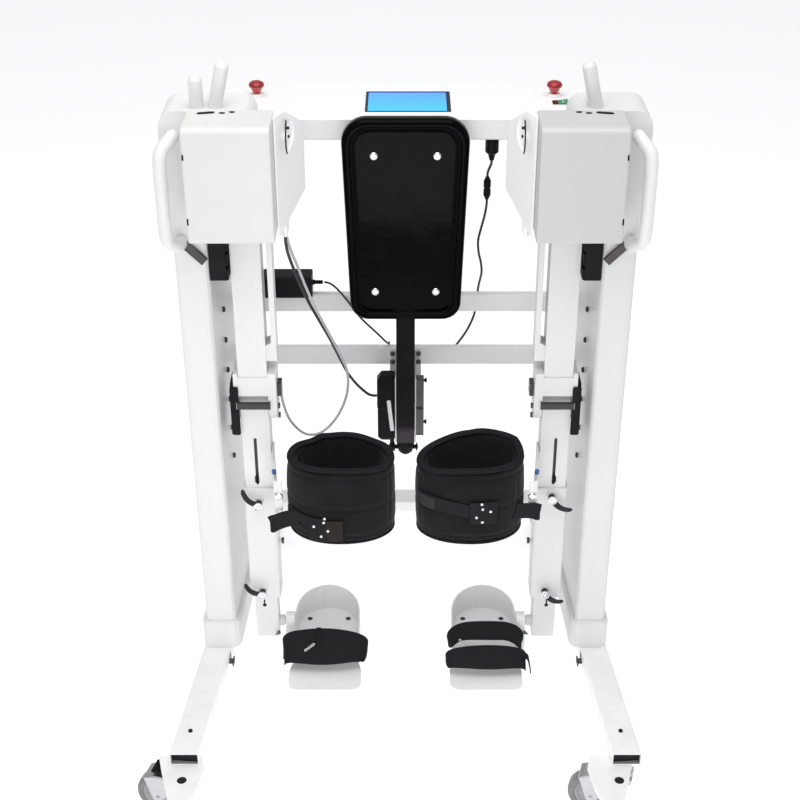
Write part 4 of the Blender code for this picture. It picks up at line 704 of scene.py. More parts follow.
for tag, side in SIDES.items():
    bolts = [dark_box(side, (0.345, PILLAR_WALL_X), (0.085, 0.115), (0.55, 1.0))]
    paint(marked(f"pillar_coat_{tag}", shaded(WHITE, tag), 0.06, bolts), f"pillar_{tag}")

    # The housing takes its darkened colour for its side. Painted shade: the walls of the vents in its top are
    # coloured dark.
    vents = [dark_box(side, (0.300, 0.335), (-0.024, -0.003), (1.385, 1.4014)),
             dark_box(side, (0.337, 0.376), (-0.026, -0.002), (1.385, 1.4014))]
    paint(marked(f"housing_coat_{tag}", HIP_SHADE[tag], 0.02, vents), f"hip_housing_{tag}")

    # Painted shade: the second box colours the gap across the knee's front dark; the first holds the knee's
    # bolts.
    joint = [dark_box(side, (0.245, 0.2592), (0.020, 0.055), (0.735, 0.835)),
             dark_box(side, (0.2722, 0.3405), (-0.003, 0.0148), (0.769, 0.789))]
    paint(marked(f"thigh_coat_{tag}", shaded(LEG_WHITE, tag), 0.03, joint), f"thigh_link_{tag}")

    # Painted shade: the walls of the shank's slot are coloured dark.
    slot = [dark_box(side, (0.3050, 0.3130), (0.0200, 0.0250), (0.560, 0.700))]
    paint(marked(f"knee_tube_coat_{tag}", shaded(LEG_WHITE, tag), 0.03, slot), f"knee_tube_{tag}")

    # Painted shade: so are the walls of its keyhole.
    keyhole = [dark_box(side, (0.3050, 0.3170), (0.0235, 0.0275), (0.252, 0.284))]
    paint(marked(f"foot_tube_coat_{tag}", shaded(LEG_WHITE, tag), 0.05, keyhole), f"foot_tube_{tag}")

    knob = [dark_box(side, (0.2600, 0.2685), (0.030, 0.060), (0.405, 0.435))]
    paint(marked(f"sleeve_coat_{tag}", shaded(LEG_WHITE, tag), 0.03, knob), f"shank_sleeve_{tag}")

    # Painted shade: the first two boxes below colour the inside of the leg's open end and the wall of its
    # caster plate's hole dark.
    hole = (PLATE_HOLE_X[tag] - PLATE_HOLE_R, PLATE_HOLE_X[tag] + PLATE_HOLE_R)
    openings = [dark_box(side, (0.4232, 0.4768), (None, -0.3245), (0.1374, 0.1626)),
                dark_box(side, hole, (-0.3916, -0.3706), (None, 0.1342)),
                dark_box(side, (0.370, 0.3900), (-0.060, -0.012), (0.140, 0.160))]
    # Painted light: the base leg takes the brighter white.
    paint(marked(f"base_coat_{tag}", LIT_WHITE, 0.16, openings), f"base_leg_{tag}")

    heads = [dark_box(side, (x - TRAY_BOLT_R, x + TRAY_BOLT_R), (0.106, 0.124), (0.1465, 0.160))
             for x in TRAY_BOLTS_X]
    # Painted light: so does the tray.
    paint(marked(f"tray_coat_{tag}", LIT_WHITE, 0.03, heads), f"footplate_{tag}")

guide_bolts = [dark_box(side, (0.022, 0.035), (None, 0.2852), (0.722, 0.760)) for side in SIDES.values()]
guide_bolts.append(dark_box(SIDES["r"], (0.0232, 0.045), (0.200, 0.2840), (0.570, 0.720)))
paint(marked("guide_coat", WHITE, 0.05, guide_bolts, GUIDE_GREY), "pad_guide")
print("white pieces have their dark details")

# %% [markdown]
# The other nodes take one finish each. The post is a black square tube whose lowest stretch is a little
# lighter and purple-grey, so it gets its own.

# %% The other nodes
def post_finish():
    """Black square tube; its lowest stretch is a little lighter and purple-grey."""
    plastic = Finish("post_black", (0.006, 0.006, 0.007), 0.40, Specular_IOR_Level=0.11)
    _, _, z = plastic.parts(plastic.place())
    cloud = plastic.noise(40, 3.0, 0.6)
    dark = plastic.blend(cloud.between(0.45, 0.75) * 0.5, (0.006, 0.006, 0.007), (0.014, 0.014, 0.015))
    lower_band = z.between(0.606, 0.588) * z.between(0.560, 0.563)
    plastic.set("Base Color", plastic.blend(lower_band, dark, (0.060, 0.052, 0.062)))
    plastic.set("Roughness", 0.36 + cloud * 0.14)
    plastic.bump(plastic.noise(1400, 2.0, 0.6), 0.00008, 0.6)
    return plastic.material


# Painted light: the rails and the rear crossbar take the brighter white as well.
paint(powder_coat("lit_white_coat", LIT_WHITE, 0.03), "rear_crossbar", "rail_upper", "rail_middle")
paint(white_cover, *both("hip_cover"))
paint(console_white, "console_beam")
paint(black_block, *both("slider_block"))
paint(post_finish(), "pad_post")
paint(black_nylon, "actuator", "display_plug", "inline_connector", *both("brake_pedal_front"))
paint(adapter_black, "power_adapter")
paint(rocker_green, "rocker_switch")
paint(zinc, *both("caster_fork_front"), *both("caster_fork_rear"))
print("every node that keeps the CAD's own shape has its finish")

# %% [markdown]
# The display is a seven inch panel behind a thin dark bezel. Its picture here is only a wash of blue:
# lighter and greener towards the viewer, as the photograph shows, with no words on it.

# %% Display glass
BEZEL, BEZEL_RIGHT = 0.0052, 0.0080


def screen_glass():
    """A blue wash inside the bezel, which is a little wider on the viewer's right."""
    low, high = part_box("display")
    glass = Finish("display_glass", (0.01, 0.02, 0.06), 0.12, Coat_Weight=0.0, Specular_IOR_Level=0.15)
    x, y, _ = glass.parts(glass.place())
    along = y.between(low[1], high[1])
    wash = glass.blend(along, (0.032, 0.420, 0.800), (0.075, 0.250, 0.680))
    cloud = glass.noise(18, 2.0, 0.5).between(0.35, 0.7)
    wash = glass.blend(cloud * 0.18, wash, (0.10, 0.36, 0.80))
    edge = 0.0004
    lit = (x.between(low[0] + BEZEL - edge, low[0] + BEZEL + edge)
           * x.between(high[0] - BEZEL_RIGHT + edge, high[0] - BEZEL_RIGHT - edge)
           * y.between(low[1] + BEZEL - edge, low[1] + BEZEL + edge)
           * y.between(high[1] - BEZEL + edge, high[1] - BEZEL - edge))
    glass.set("Base Color", glass.blend(lit, (0.004, 0.007, 0.022), wash))
    glass.set("Emission Color", glass.blend(lit, (0.0, 0.0, 0.0), wash))
    glass.set("Emission Strength", 0.55)
    glass.set("Roughness", 0.10 + glass.noise(40, 2.0, 0.5) * 0.06)
    return glass.material


paint(screen_glass(), "display")
print("display lit")

# %% [markdown]
# Five cables run on the frame. Each is settled as a fact first (where it comes out, how thick it is,
# where it ends), then as a smooth curve through a few route points, the same ones that the CAD uses,
# with enough points that no bend shows corners.

# %% Cable routes
DISPLAY_UPPER = [
    (0.173, 0.250, 1.2117), (0.173, 0.250, 1.206), (0.1715, 0.2505, 1.200),
    (0.1680, 0.253, 1.190), (0.1662, 0.254, 1.183), (0.166, 0.254, 1.1753),
]
DISPLAY_LOWER = [
    (0.166, 0.254, 1.1257), (0.166, 0.254, 1.115), (0.163, 0.257, 1.090), (0.157, 0.262, 1.060),
    (0.1515, 0.268, 1.028), (0.1535, 0.274, 0.998), (0.1590, 0.283, 0.972), (0.1622, 0.295, 0.945),
    (0.1610, 0.309, 0.922), (0.1585, 0.3190, 0.903), (0.1565, 0.3210, 0.885), (0.1535, 0.3210, 0.855),
    (0.1495, 0.3215, 0.825), (0.136, 0.3220, 0.790), (0.118, 0.3215, 0.760), (0.104, 0.319, 0.744),
    (0.100, 0.3150, 0.740), (0.100, 0.3104, 0.740),
]
ADAPTER_ROUTE = [
    (-0.1733, 0.290, 0.921), (-0.163, 0.287, 0.920), (-0.152, 0.282, 0.915), (-0.138, 0.2765, 0.902),
    (-0.122, 0.276, 0.880), (-0.107, 0.277, 0.856), (-0.0918, 0.279, 0.835), (-0.074, 0.281, 0.815),
    (-0.056, 0.283, 0.795), (-0.0435, 0.287, 0.779), (-0.038, 0.296, 0.7695), (-0.036, 0.307, 0.7665),
    (-0.036, 0.316, 0.760), (-0.036, 0.3180, 0.748), (-0.036, 0.3150, 0.740), (-0.036, 0.3104, 0.740),
]
ACTUATOR_ROUTE = [
    (-0.228, 0.025, 1.1457), (-0.228, 0.026, 1.134), (-0.2255, 0.030, 1.110), (-0.2170, 0.043, 1.070),
    (-0.2060, 0.061, 1.025), (-0.1915, 0.088, 0.970), (-0.1745, 0.118, 0.915), (-0.157, 0.147, 0.860),
    (-0.140, 0.175, 0.802), (-0.126, 0.194, 0.757), (-0.110, 0.212, 0.720), (-0.094, 0.224, 0.694),
    (-0.080, 0.2300, 0.678), (-0.071, 0.232, 0.674), (-0.0627, 0.232, 0.674),
]
SENSOR_ROUTE = [
    (-0.228, 0.052, 1.1457), (-0.228, 0.053, 1.134), (-0.2235, 0.054, 1.110), (-0.2115, 0.057, 1.072),
    (-0.1970, 0.067, 1.020), (-0.1795, 0.088, 0.959), (-0.1580, 0.121, 0.889), (-0.1360, 0.144, 0.824),
    (-0.1225, 0.154, 0.776), (-0.1245, 0.152, 0.725), (-0.144, 0.140, 0.679), (-0.176, 0.122, 0.650),
    (-0.210, 0.100, 0.657), (-0.240, 0.080, 0.702), (-0.2535, 0.070, 0.757), (-0.255, 0.068, 0.792),
    (-0.255, 0.058, 0.809), (-0.255, 0.0494, 0.809),
]


def smooth_path(points, count):
    """Catmull-Rom curve through the points, then evenly spaced along its length."""
    p = np.asarray(points, float)
    p = np.vstack([2 * p[0] - p[1], p, 2 * p[-1] - p[-2]])
    t = np.linspace(0, 1, 24, endpoint=False)[None, :, None]
    a, b, c, d = (p[i:len(p) - 3 + i, None] for i in range(4))
    fine = 0.5 * (2 * b + (c - a) * t + (2 * a - 5 * b + 4 * c - d) * t**2 + (3 * b - a - 3 * c + d) * t**3)
    fine = np.vstack([fine.reshape(-1, 3), p[-2]])
    run = np.concatenate([[0], np.cumsum(np.linalg.norm(np.diff(fine, axis=0), axis=1))])
    goal = np.linspace(0, run[-1], count)
    return np.stack([np.interp(goal, run, fine[:, k]) for k in range(3)], 1)


def cable_jacket(name, colour, light):
    """Extruded jacket: fine lengthwise drawing and a soft sheen."""
    jacket = Finish(name, colour, 0.42, Specular_IOR_Level=0.5)
    drawn = jacket.noise(500, 2.0, 0.5, jacket.stretch((1, 1, 0.15)))
    jacket.set("Base Color", jacket.blend(drawn.between(0.4, 0.75) * 0.5, colour, light))
    jacket.set("Roughness", 0.36 + drawn * 0.16)
    jacket.bump(drawn, 0.00008, 0.5)
    return jacket.material


black_jacket = cable_jacket("cable_black", (0.012, 0.012, 0.013), (0.035, 0.035, 0.037))
pale_jacket = cable_jacket("cable_pale", (0.52, 0.53, 0.54), (0.42, 0.43, 0.44))
print("five routes")

# %% Cables
def cable(name, route, radius, finish, count):
    """A polyline curve with a round bevel through count points of the smoothed route."""
    path = smooth_path(np.array(route) + MOVE, count)
    data = bpy.data.curves.new(name, "CURVE")
    data.dimensions = "3D"
    data.bevel_depth = radius
    data.bevel_resolution = 4
    data.use_fill_caps = True
    line = data.splines.new("POLY")
    line.points.add(count - 1)
    line.points.foreach_set("co", np.hstack([path, np.ones((count, 1))]).ravel())
    data.materials.append(finish)
    made = bpy.data.objects.new(name, data)
    bpy.context.collection.objects.link(made)
    length = float(np.linalg.norm(np.diff(path, axis=0), axis=1).sum())
    print(name, round(length, 4), "m")
    return made, path, length


CABLES = [
    ("screen_lead_upper", "display_cord_upper", DISPLAY_UPPER, 0.0025, black_jacket, 16),
    ("screen_lead_lower", "display_cord_lower", DISPLAY_LOWER, 0.0025, black_jacket, 60),
    ("adapter_lead", "adapter_cable", ADAPTER_ROUTE, 0.0022, black_jacket, 50),
    ("actuator_lead", "actuator_cable", ACTUATOR_ROUTE, 0.0030, black_jacket, 60),
]
for name, node, route, radius, finish, count in CABLES:
    lead, path, length = cable(name, route, radius, finish, count)
    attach(lead, "frame")
    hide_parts(node)

# %% [markdown]
# The pale sensor lead hangs between the hip box and the left knee, so it has to bend as the hip turns.
# Here it is a mesh: a round section carried along the same kind of path.

# %% Sensor lead
SENSOR_RADIUS = 0.0028
sensor_path = smooth_path(np.array(SENSOR_ROUTE) + MOVE, 130)
sensor_tube = sweep(Shape(), sensor_path, ellipse(2 * SENSOR_RADIUS, 2 * SENSOR_RADIUS, 14), (0, 1, 0))
sensor_lead = sensor_tube.piece("sensor_lead", pale_jacket, 60)
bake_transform(sensor_lead)
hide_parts("sensor_cable")

# %% [markdown]
# The back board is a shallow tray of rings. Each ring is the same tapered outline drawn in by a little
# more, and set forward or back: a rolled rim, a fine groove and a faintly domed panel.

# %% Back board
BOARD_TOP, BOARD_LOW = 1.325, 0.892
BOARD_WIDE, BOARD_NARROW = 0.251, 0.228
BOARD_FRONT, BOARD_BACK = 0.165, 0.195
CORNER_TOP, CORNER_LOW, CORNER_LEAST = 0.050, 0.038, 0.010
ROLL, ROLL_DEPTH = 0.010, 0.012
SCREW_X, SCREW_Y, SCREW_HEIGHTS = 0.062, 0.1680, (1.251, 0.958)


def board_ring(inset, y):
    """The tapered outline drawn in by inset: four corner arcs, counted from the top right one."""
    rows = []
    for sx, sz, start in ((1, 1, 0), (-1, 1, 90), (-1, -1, 180), (1, -1, 270)):
        top = sz > 0
        radius = max((CORNER_TOP if top else CORNER_LOW) - 0.6 * inset, CORNER_LEAST)
        half = (BOARD_WIDE if top else BOARD_NARROW) / 2 - inset
        level = BOARD_TOP - inset if top else BOARD_LOW + inset
        angle = np.radians(np.linspace(start, start + 90, 14))
        x = sx * (half - radius) + radius * np.cos(angle)
        z = level - sz * radius + radius * np.sin(angle)
        rows.append(np.stack([x, np.full_like(x, y), z], 1))
    return np.concatenate(rows) + MOVE


back = [(0.012, BOARD_BACK), (0.006, BOARD_BACK), (0.002, BOARD_BACK - 0.0012), (0.0, BOARD_BACK - 0.004)]
rim = [(ROLL * (1 - math.cos(t)), BOARD_FRONT + ROLL_DEPTH * (1 - math.sin(t)))
       for t in np.linspace(0, np.pi / 2, 9)]
groove = [(0.0120, 0.1648), (0.0140, 0.1652), (0.0158, 0.1668), (0.0172, 0.1690), (0.0190, 0.1694)]
panel = [(0.0210, 0.1686), (0.028, 0.1682), (0.042, 0.1678), (0.060, 0.1675), (0.080, 0.1674)]
rings = back + [(0.0, 0.180)] + rim + groove + panel
board = Shape().grid(np.array([board_ring(*ring) for ring in rings]), wrap_columns=True, caps=True)
board.on("pad_lift", "back_board_shell", board_lacquer, 50, "back_board")

DOME = [(0.0085, 0.0), (0.0085, 0.0011), (0.0080, 0.0021), (0.0068, 0.0030), (0.0052, 0.0036),
        (0.0037, 0.0038), (0.0031, 0.0036), (0.0029, 0.0022), (0.0001, 0.0020)]
screws = Shape()
for x in (-SCREW_X, SCREW_X):
    for z in SCREW_HEIGHTS:
        lathe(screws, DOME, spot(x, SCREW_Y, z), (0, -1, 0), 28)
screws.on("pad_lift", "back_board_screws", chrome, 35)
print("back board,", len(rings), "rings, and four screws")

# %% [markdown]
# The grab handle is a round bar carried along a smoothed route, from one end plate to the other.

# %% Grab handles
HANDLE_ROUTE = [
    (0.422, -0.0009, 1.354), (0.422, -0.010, 1.354), (0.426, -0.026, 1.352), (0.438, -0.042, 1.338),
    (0.441, -0.050, 1.314), (0.441, -0.052, 1.250), (0.441, -0.050, 1.186), (0.438, -0.042, 1.162),
    (0.426, -0.026, 1.148), (0.422, -0.010, 1.146), (0.422, -0.0009, 1.146),
]
HANDLE_RADIUS = 0.0125
for tag, side in SIDES.items():
    route = smooth_path(np.array(HANDLE_ROUTE) * (side, 1, 1) + MOVE, 90)
    bar = sweep(Shape(), route, ellipse(2 * HANDLE_RADIUS, 2 * HANDLE_RADIUS, 28), (1, 0, 0))
    bar.on("frame", f"handle_bar_{tag}", white_coat, 60, f"grab_handle_{tag}")
print("two grab handles")

# %% [markdown]
# Leg cuffs. The plan of a cuff is a rounded egg: the half that faces the middle of the machine is
# fuller than the outer half. The wall is one closed surface that goes up the outside, over the rim and
# down the inside, thicker between the seams than at them.

# %% Cuff plan
CUFF_X, CUFF_Y = 0.1295, -0.065
CUFF_A, CUFF_B = 0.0975, 0.058
CUFF_LOW, CUFF_TOP = 0.541, 0.713
FULLER_INSIDE, FULLER_FRONT = 0.72, 0.84
CUFF_OUTER, CUFF_INNER, CUFF_RIM = 0.0095, -0.0055, 0.006


def cuff_plan(side, angle, off=0.0):
    """Middle line of the wall: x = a |cos|^p, y = b |sin|^q about the cuff's centre, moved out by off."""
    c, s = np.cos(angle), np.sin(angle)
    x = (CUFF_A + off) * np.sign(c) * np.abs(c) ** np.where(c < 0, FULLER_INSIDE, 1.0)
    y = (CUFF_B + off) * np.sign(s) * np.abs(s) ** np.where(s < 0, FULLER_FRONT, 1.0)
    return side * (x + CUFF_X), y + CUFF_Y


def cuff_front(side, x, off):
    """Y of the front of the wall at a given X."""
    angle = np.linspace(np.pi, 2 * np.pi, 400)
    px, py = cuff_plan(side, angle, off)
    order = np.argsort(px)
    return np.interp(x, px[order], py[order])


def cuff_rims(side, angle):
    """Height of the lower and upper rim: the back rises, on the viewer's right to a soft point."""
    back = np.clip(np.sin(angle), 0, 1)
    outer = np.cos(angle)
    if side < 0:
        top = CUFF_TOP + 0.007 * back * (1 + 0.5 * np.sin(5 * angle)) - 0.006 * np.clip(-outer, 0, 1) ** 2
        top += 0.005 * np.exp(-((angle - 1.15) / 0.16) ** 2)
    else:
        point = np.exp(-(np.clip(0.35 - outer, 0, 2) / 0.62) ** 2)
        top = CUFF_TOP + 0.021 * np.clip(back * 2.2, 0, 1) * point
        top -= 0.012 * np.clip(-outer, 0, 1) ** 1.5
    low = CUFF_LOW + 0.004 * np.sin(2 * angle + 0.6) + 0.005 * np.clip(outer, 0, 1)
    return low, top


def cuff_wall(side, around=180):
    """Closed wall: section up the outside, over the top, down the inside, round the bottom."""
    angle = np.linspace(0, 2 * np.pi, around, endpoint=False)
    low, top = cuff_rims(side, angle)
    climb = np.linspace(0.06, 0.94, 34)
    arc = np.linspace(0.08, 0.92, 7) * np.pi
    middle, half = (CUFF_OUTER + CUFF_INNER) / 2, (CUFF_OUTER - CUFF_INNER) / 2
    rows = []

    def row(off, height):
        x, y = cuff_plan(side, angle, off)
        rows.append(np.stack([x, y, height], 1) + MOVE)

    for t in climb:
        swell = 0.0035 * np.sin(np.pi * t) ** 0.7 * (1 + 0.35 * np.sin(3 * angle + 4 * t + side))
        row(CUFF_OUTER + swell, low + (top - low) * t)
    for t in arc:
        row(middle + half * np.cos(t), top - CUFF_RIM + CUFF_RIM * np.sin(t))
    for t in climb[::-1]:
        row(CUFF_INNER - 0.0010 * np.sin(np.pi * t), low + (top - low) * t)
    for t in arc:
        row(middle - half * np.cos(t), low + CUFF_RIM - CUFF_RIM * np.sin(t))
    return np.array(rows)


print("cuff: plan", 2 * (CUFF_A + CUFF_OUTER), "x", 2 * (CUFF_B + CUFF_OUTER), "m, height",
      round(CUFF_TOP - CUFF_LOW, 3), "m")

# %% [markdown]
# Neoprene is foam with a knitted face: nearly no shine, a fine pile and some lint. Webbing is woven
# tape, whose ribs catch the light on their crowns; that light is painted into its colour as a lighter tone.
# Both are drawn with noise, because a weave this fine is never seen thread by thread.

# %% Neoprene and webbing
def neoprene():
    """Matte knitted face: fine ribs made from stretched noise, dusty high spots, almost no shine."""
    cloth = Finish("neoprene_black", (0.012, 0.012, 0.0135), 0.86, Specular_IOR_Level=0.12, Sheen_Weight=0.10,
                   Sheen_Roughness=0.5)
    weave = cloth.noise(1100, 2.0, 0.6)
    pile = cloth.noise(260, 3.0, 0.65)
    worn = cloth.noise(26, 4.0, 0.6).between(0.48, 0.78)
    lint = cloth.cells(330).between(0.16, 0.05)
    base = cloth.blend(pile.between(0.35, 0.75) * 0.6, (0.0055, 0.0055, 0.0062), (0.0120, 0.0120, 0.0132))
    base = cloth.blend(worn * 0.30, base, (0.024, 0.024, 0.026))
    cloth.set("Base Color", cloth.blend(lint * 0.10, base, (0.12, 0.12, 0.12)))
    cloth.set("Roughness", 0.80 + pile * 0.12)
    cloth.bump(weave * 0.5 + pile * 0.5, 0.00045, 0.7)
    return cloth.material


def webbing(name, dark, light):
    """Woven tape: two crossed sets of fine ribs, with a painted highlight on the crowns."""
    tape = Finish(name, dark, 0.78, Specular_IOR_Level=0.18)
    ribs = tape.noise(520, 2.0, 0.5, tape.stretch((1.0, 1.0, 3.0)))
    cross = tape.noise(900, 2.0, 0.6)
    crown = (ribs * 0.6 + cross * 0.4).between(0.42, 0.62)
    # Painted highlight: the lighter colour on the crowns of the ribs.
    tape.set("Base Color", tape.blend(crown * 0.7, dark, light))
    tape.set("Roughness", 0.70 + cross * 0.2)
    tape.bump(ribs * 0.6 + cross * 0.4, 0.00035, 0.7)
    return tape.material


neoprene_black = neoprene()
binding_black = webbing("binding_black", (0.007, 0.007, 0.008), (0.020, 0.020, 0.022))
strap_black = webbing("strap_black", (0.008, 0.008, 0.009), (0.024, 0.024, 0.026))
strap_grey = webbing("strap_grey", (0.022, 0.022, 0.025), (0.055, 0.055, 0.060))
patch_brown = webbing("patch_brown", (0.018, 0.012, 0.012), (0.042, 0.028, 0.026))
print("soft finishes")
# %% [markdown]
# The padding is blown up as cloth: the wall is remeshed evenly, given a little inner pressure without
# gravity, stepped through twenty frames, and no point may travel further than a few millimetres.
# Then the seams are sewn in: near a seam the wall is drawn towards its own middle line.

# %% Cuff padding
VOXEL = 0.0055
PRESSURE = 4.0
MOST_TRAVEL = 0.006
LAST_FRAME = 20
SEAMS = (0.560, 0.627, 0.695)
SEAM_PULL, SEAM_WIDTH = 0.30, 0.0026
CHUNK = 4000

def coordinates(mesh):
    """All the points of a mesh as one array."""
    flat = np.empty(3 * len(mesh.vertices))
    mesh.vertices.foreach_get("co", flat)
    return flat.reshape(-1, 3)


def swollen(made):
    """Voxel remesh, then cloth with inner pressure for twenty frames, each point held near its start."""
    remesh = made.modifiers.new("even_mesh", "REMESH")
    remesh.mode = "VOXEL"
    remesh.voxel_size = VOXEL
    even = bpy.data.meshes.new_from_object(made.evaluated_get(bpy.context.evaluated_depsgraph_get()))
    made.modifiers.clear()
    finish = made.data.materials[0]
    made.data = even
    even.materials.clear()
    even.materials.append(finish)
    start = coordinates(even)
    cloth = made.modifiers.new("padding", "CLOTH")
    cloth.settings.quality = 4
    cloth.settings.mass = 0.25
    cloth.settings.use_pressure = True
    cloth.settings.uniform_pressure_force = PRESSURE
    cloth.settings.effector_weights.gravity = 0.0
    cloth.collision_settings.use_collision = False
    cloth.point_cache.frame_end = LAST_FRAME
    for frame_number in range(1, LAST_FRAME + 1):
        bpy.context.scene.frame_set(frame_number)
    blown = coordinates(made.evaluated_get(bpy.context.evaluated_depsgraph_get()).to_mesh())
    made.modifiers.clear()
    travel = blown - start
    length = np.linalg.norm(travel, axis=1, keepdims=True)
    held = start + travel * np.minimum(1.0, MOST_TRAVEL / np.maximum(length, 1e-9))
    even.vertices.foreach_set("co", held.ravel())
    even.update()
    bpy.context.scene.frame_set(1)
    average = float(np.minimum(length, MOST_TRAVEL).mean())
    print(made.name, "swelled by", round(average * 1000, 2), "mm on average")


def sewn(made, side):
    """Draws the wall towards its middle line at each seam height: offset times 1 minus pull times a bell."""
    places = coordinates(made.data)
    angle = np.linspace(0, 2 * np.pi, 720, endpoint=False)
    line = np.stack(cuff_plan(side, angle, 0.002), 1) + MOVE[:2]
    nearest = np.empty(len(places), int)
    for start in range(0, len(places), CHUNK):
        gap = places[start:start + CHUNK, None, :2] - line[None]
        nearest[start:start + CHUNK] = np.argmin((gap**2).sum(2), axis=1)
    middle = line[nearest]
    low, top = cuff_rims(side, angle[nearest])
    reach = (places[:, 2] - low) / (top - low)
    bell = np.zeros(len(places))
    for seam in SEAMS:
        share = (seam - CUFF_LOW) / (CUFF_TOP - CUFF_LOW)
        bell = np.maximum(bell, np.exp(-(((reach - share) * (CUFF_TOP - CUFF_LOW)) / SEAM_WIDTH) ** 2))
    upright = 0.6 * np.exp(-(np.abs(np.cos(angle[nearest] * 3)) / 0.045) ** 2)
    pull = np.maximum(bell, upright * (np.abs(reach - 0.5) < 0.40))
    places[:, :2] = middle + (places[:, :2] - middle) * (1 - SEAM_PULL * pull[:, None])
    made.data.vertices.foreach_set("co", places.ravel())
    made.data.update()


def softened(made, rounds=3):
    """A few rounds of averaging with the neighbours, to take the steps of the remesh away."""
    work = bmesh.new()
    work.from_mesh(made.data)
    for _ in range(rounds):
        bmesh.ops.smooth_vert(work, verts=work.verts, factor=0.5, use_axis_x=True, use_axis_y=True,
                              use_axis_z=True)
    work.to_mesh(made.data)
    work.free()


for tag, side in SIDES.items():
    wall = Shape().grid(cuff_wall(side), wrap_rows=True, wrap_columns=True).piece(
        f"cuff_padding_{tag}", neoprene_black, 180)
    swollen(wall)
    softened(wall)
    sewn(wall, side)
    wall.data.polygons.foreach_set("use_smooth", np.ones(len(wall.data.polygons), bool))
    fine = wall.modifiers.new("fine", "SUBSURF")
    fine.levels = fine.render_levels = 1
    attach(wall, f"shank_{tag}")
    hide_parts(f"leg_cuff_{tag}")
print("two cuffs")

# %% [markdown]
# The rims are bound with folded tape, a closed loop that follows the rim up and down. A webbing strap
# crosses the front of each cuff and ends under a riveted patch.

# %% Cuff trimming
def rim_loop(side, upper, off=0.002, count=220):
    """A closed line along a rim: the plan's x and y, and the rim's height less a small inset."""
    angle = np.linspace(0, 2 * np.pi, count, endpoint=False)
    low, top = cuff_rims(side, angle)
    x, y = cuff_plan(side, angle, off)
    z = top - 0.0025 if upper else low + 0.0025
    return np.stack([x, y, z], 1) + MOVE


def ring_sweep(shape, path, section, up=(0.0, 0.0, 1.0)):
    """A closed path: tangents are taken round the loop, so that the ends join without a kink."""
    tangent = np.roll(path, -1, axis=0) - np.roll(path, 1, axis=0)
    tangent /= np.linalg.norm(tangent, axis=1, keepdims=True)
    across = np.cross(tangent, up)
    across /= np.linalg.norm(across, axis=1, keepdims=True)
    normal = np.cross(across, tangent)
    places = path[:, None] + section[None, :, :1] * across[:, None] + section[None, :, 1:] * normal[:, None]
    return shape.grid(places, wrap_rows=True, wrap_columns=True)


def band(shape, path, wide, thick, up=(0, 0, 1)):
    """A flat tape along a path: a thin rounded oblong, its width along up."""
    return sweep(shape, path, rounded_box(thick, wide, thick * 0.48, 4), up)


def round_cuff(side, x_from, x_to, z_from, z_to, off, count=40):
    """Path on the front of the cuff between two X places, with its height eased between two values."""
    x = np.linspace(x_from, x_to, count)
    t = np.linspace(0, 1, count)
    z = z_from + (z_to - z_from) * t * t * (3 - 2 * t)
    return np.stack([x, cuff_front(side, x, off), z], 1) + MOVE


RIVET = [(0.0032, 0.0), (0.0032, 0.0007), (0.0027, 0.0015), (0.0018, 0.0020), (0.0006, 0.0022)]
RIVET_OFF = 0.0195
CUFF_RIVETS = {
    "l": [(-0.1834, 0.5854), (-0.163, 0.598), (-0.161, 0.6075), (-0.155, 0.578), (-0.169, 0.5635)],
    "r": [(0.151, 0.643), (0.153, 0.631), (0.169, 0.624), (0.141, 0.612), (0.153, 0.600)],
}
print("paths round the cuffs")

# %% [markdown]
# Each tape is a row of facts: where it starts and ends across the front, its height at either end, its
# width and its finish. A later tape of the same cuff lies a little further out than the one before it.

# %% Tapes of the cuffs
TAPE_THICK = 0.0022
STRAP_OFF, STRAP_STEP = 0.0155, 0.002
PATCH_OFF, PATCH_STEP = 0.0180, 0.001
CUFF_STRAPS = {
    "l": [(-0.2365, -0.150, 0.600, 0.584, 0.022, strap_black)],
    "r": [(0.030, 0.175, 0.640, 0.618, 0.030, strap_black), (0.024, 0.058, 0.640, 0.636, 0.026, strap_grey)],
}
PATCHES = {
    "l": [(-0.1934, -0.158, 0.577, 0.056, strap_black), (-0.158, -0.1253, 0.577, 0.050, patch_brown)],
    "r": [(0.128, 0.182, 0.620, 0.052, strap_black)],
}
TAB_WIDE, TAB_THICK = 0.036, 0.0030
TABS = {
    "l": [(0.2180, -0.1130, 0.592), (0.2420, -0.1020, 0.580), (0.2620, -0.0970, 0.568),
          (0.2715, -0.0950, 0.562), (0.2735, -0.0910, 0.560), (0.2700, -0.0880, 0.561),
          (0.2500, -0.0900, 0.568)],
    "r": [(0.2200, -0.1110, 0.606), (0.2420, -0.1010, 0.600), (0.2600, -0.0970, 0.596),
          (0.2690, -0.0950, 0.592), (0.2710, -0.0910, 0.591), (0.2670, -0.0880, 0.591),
          (0.2480, -0.0900, 0.594)],
}
BINDING_WIDE, BINDING_TALL = 0.0165, 0.0085
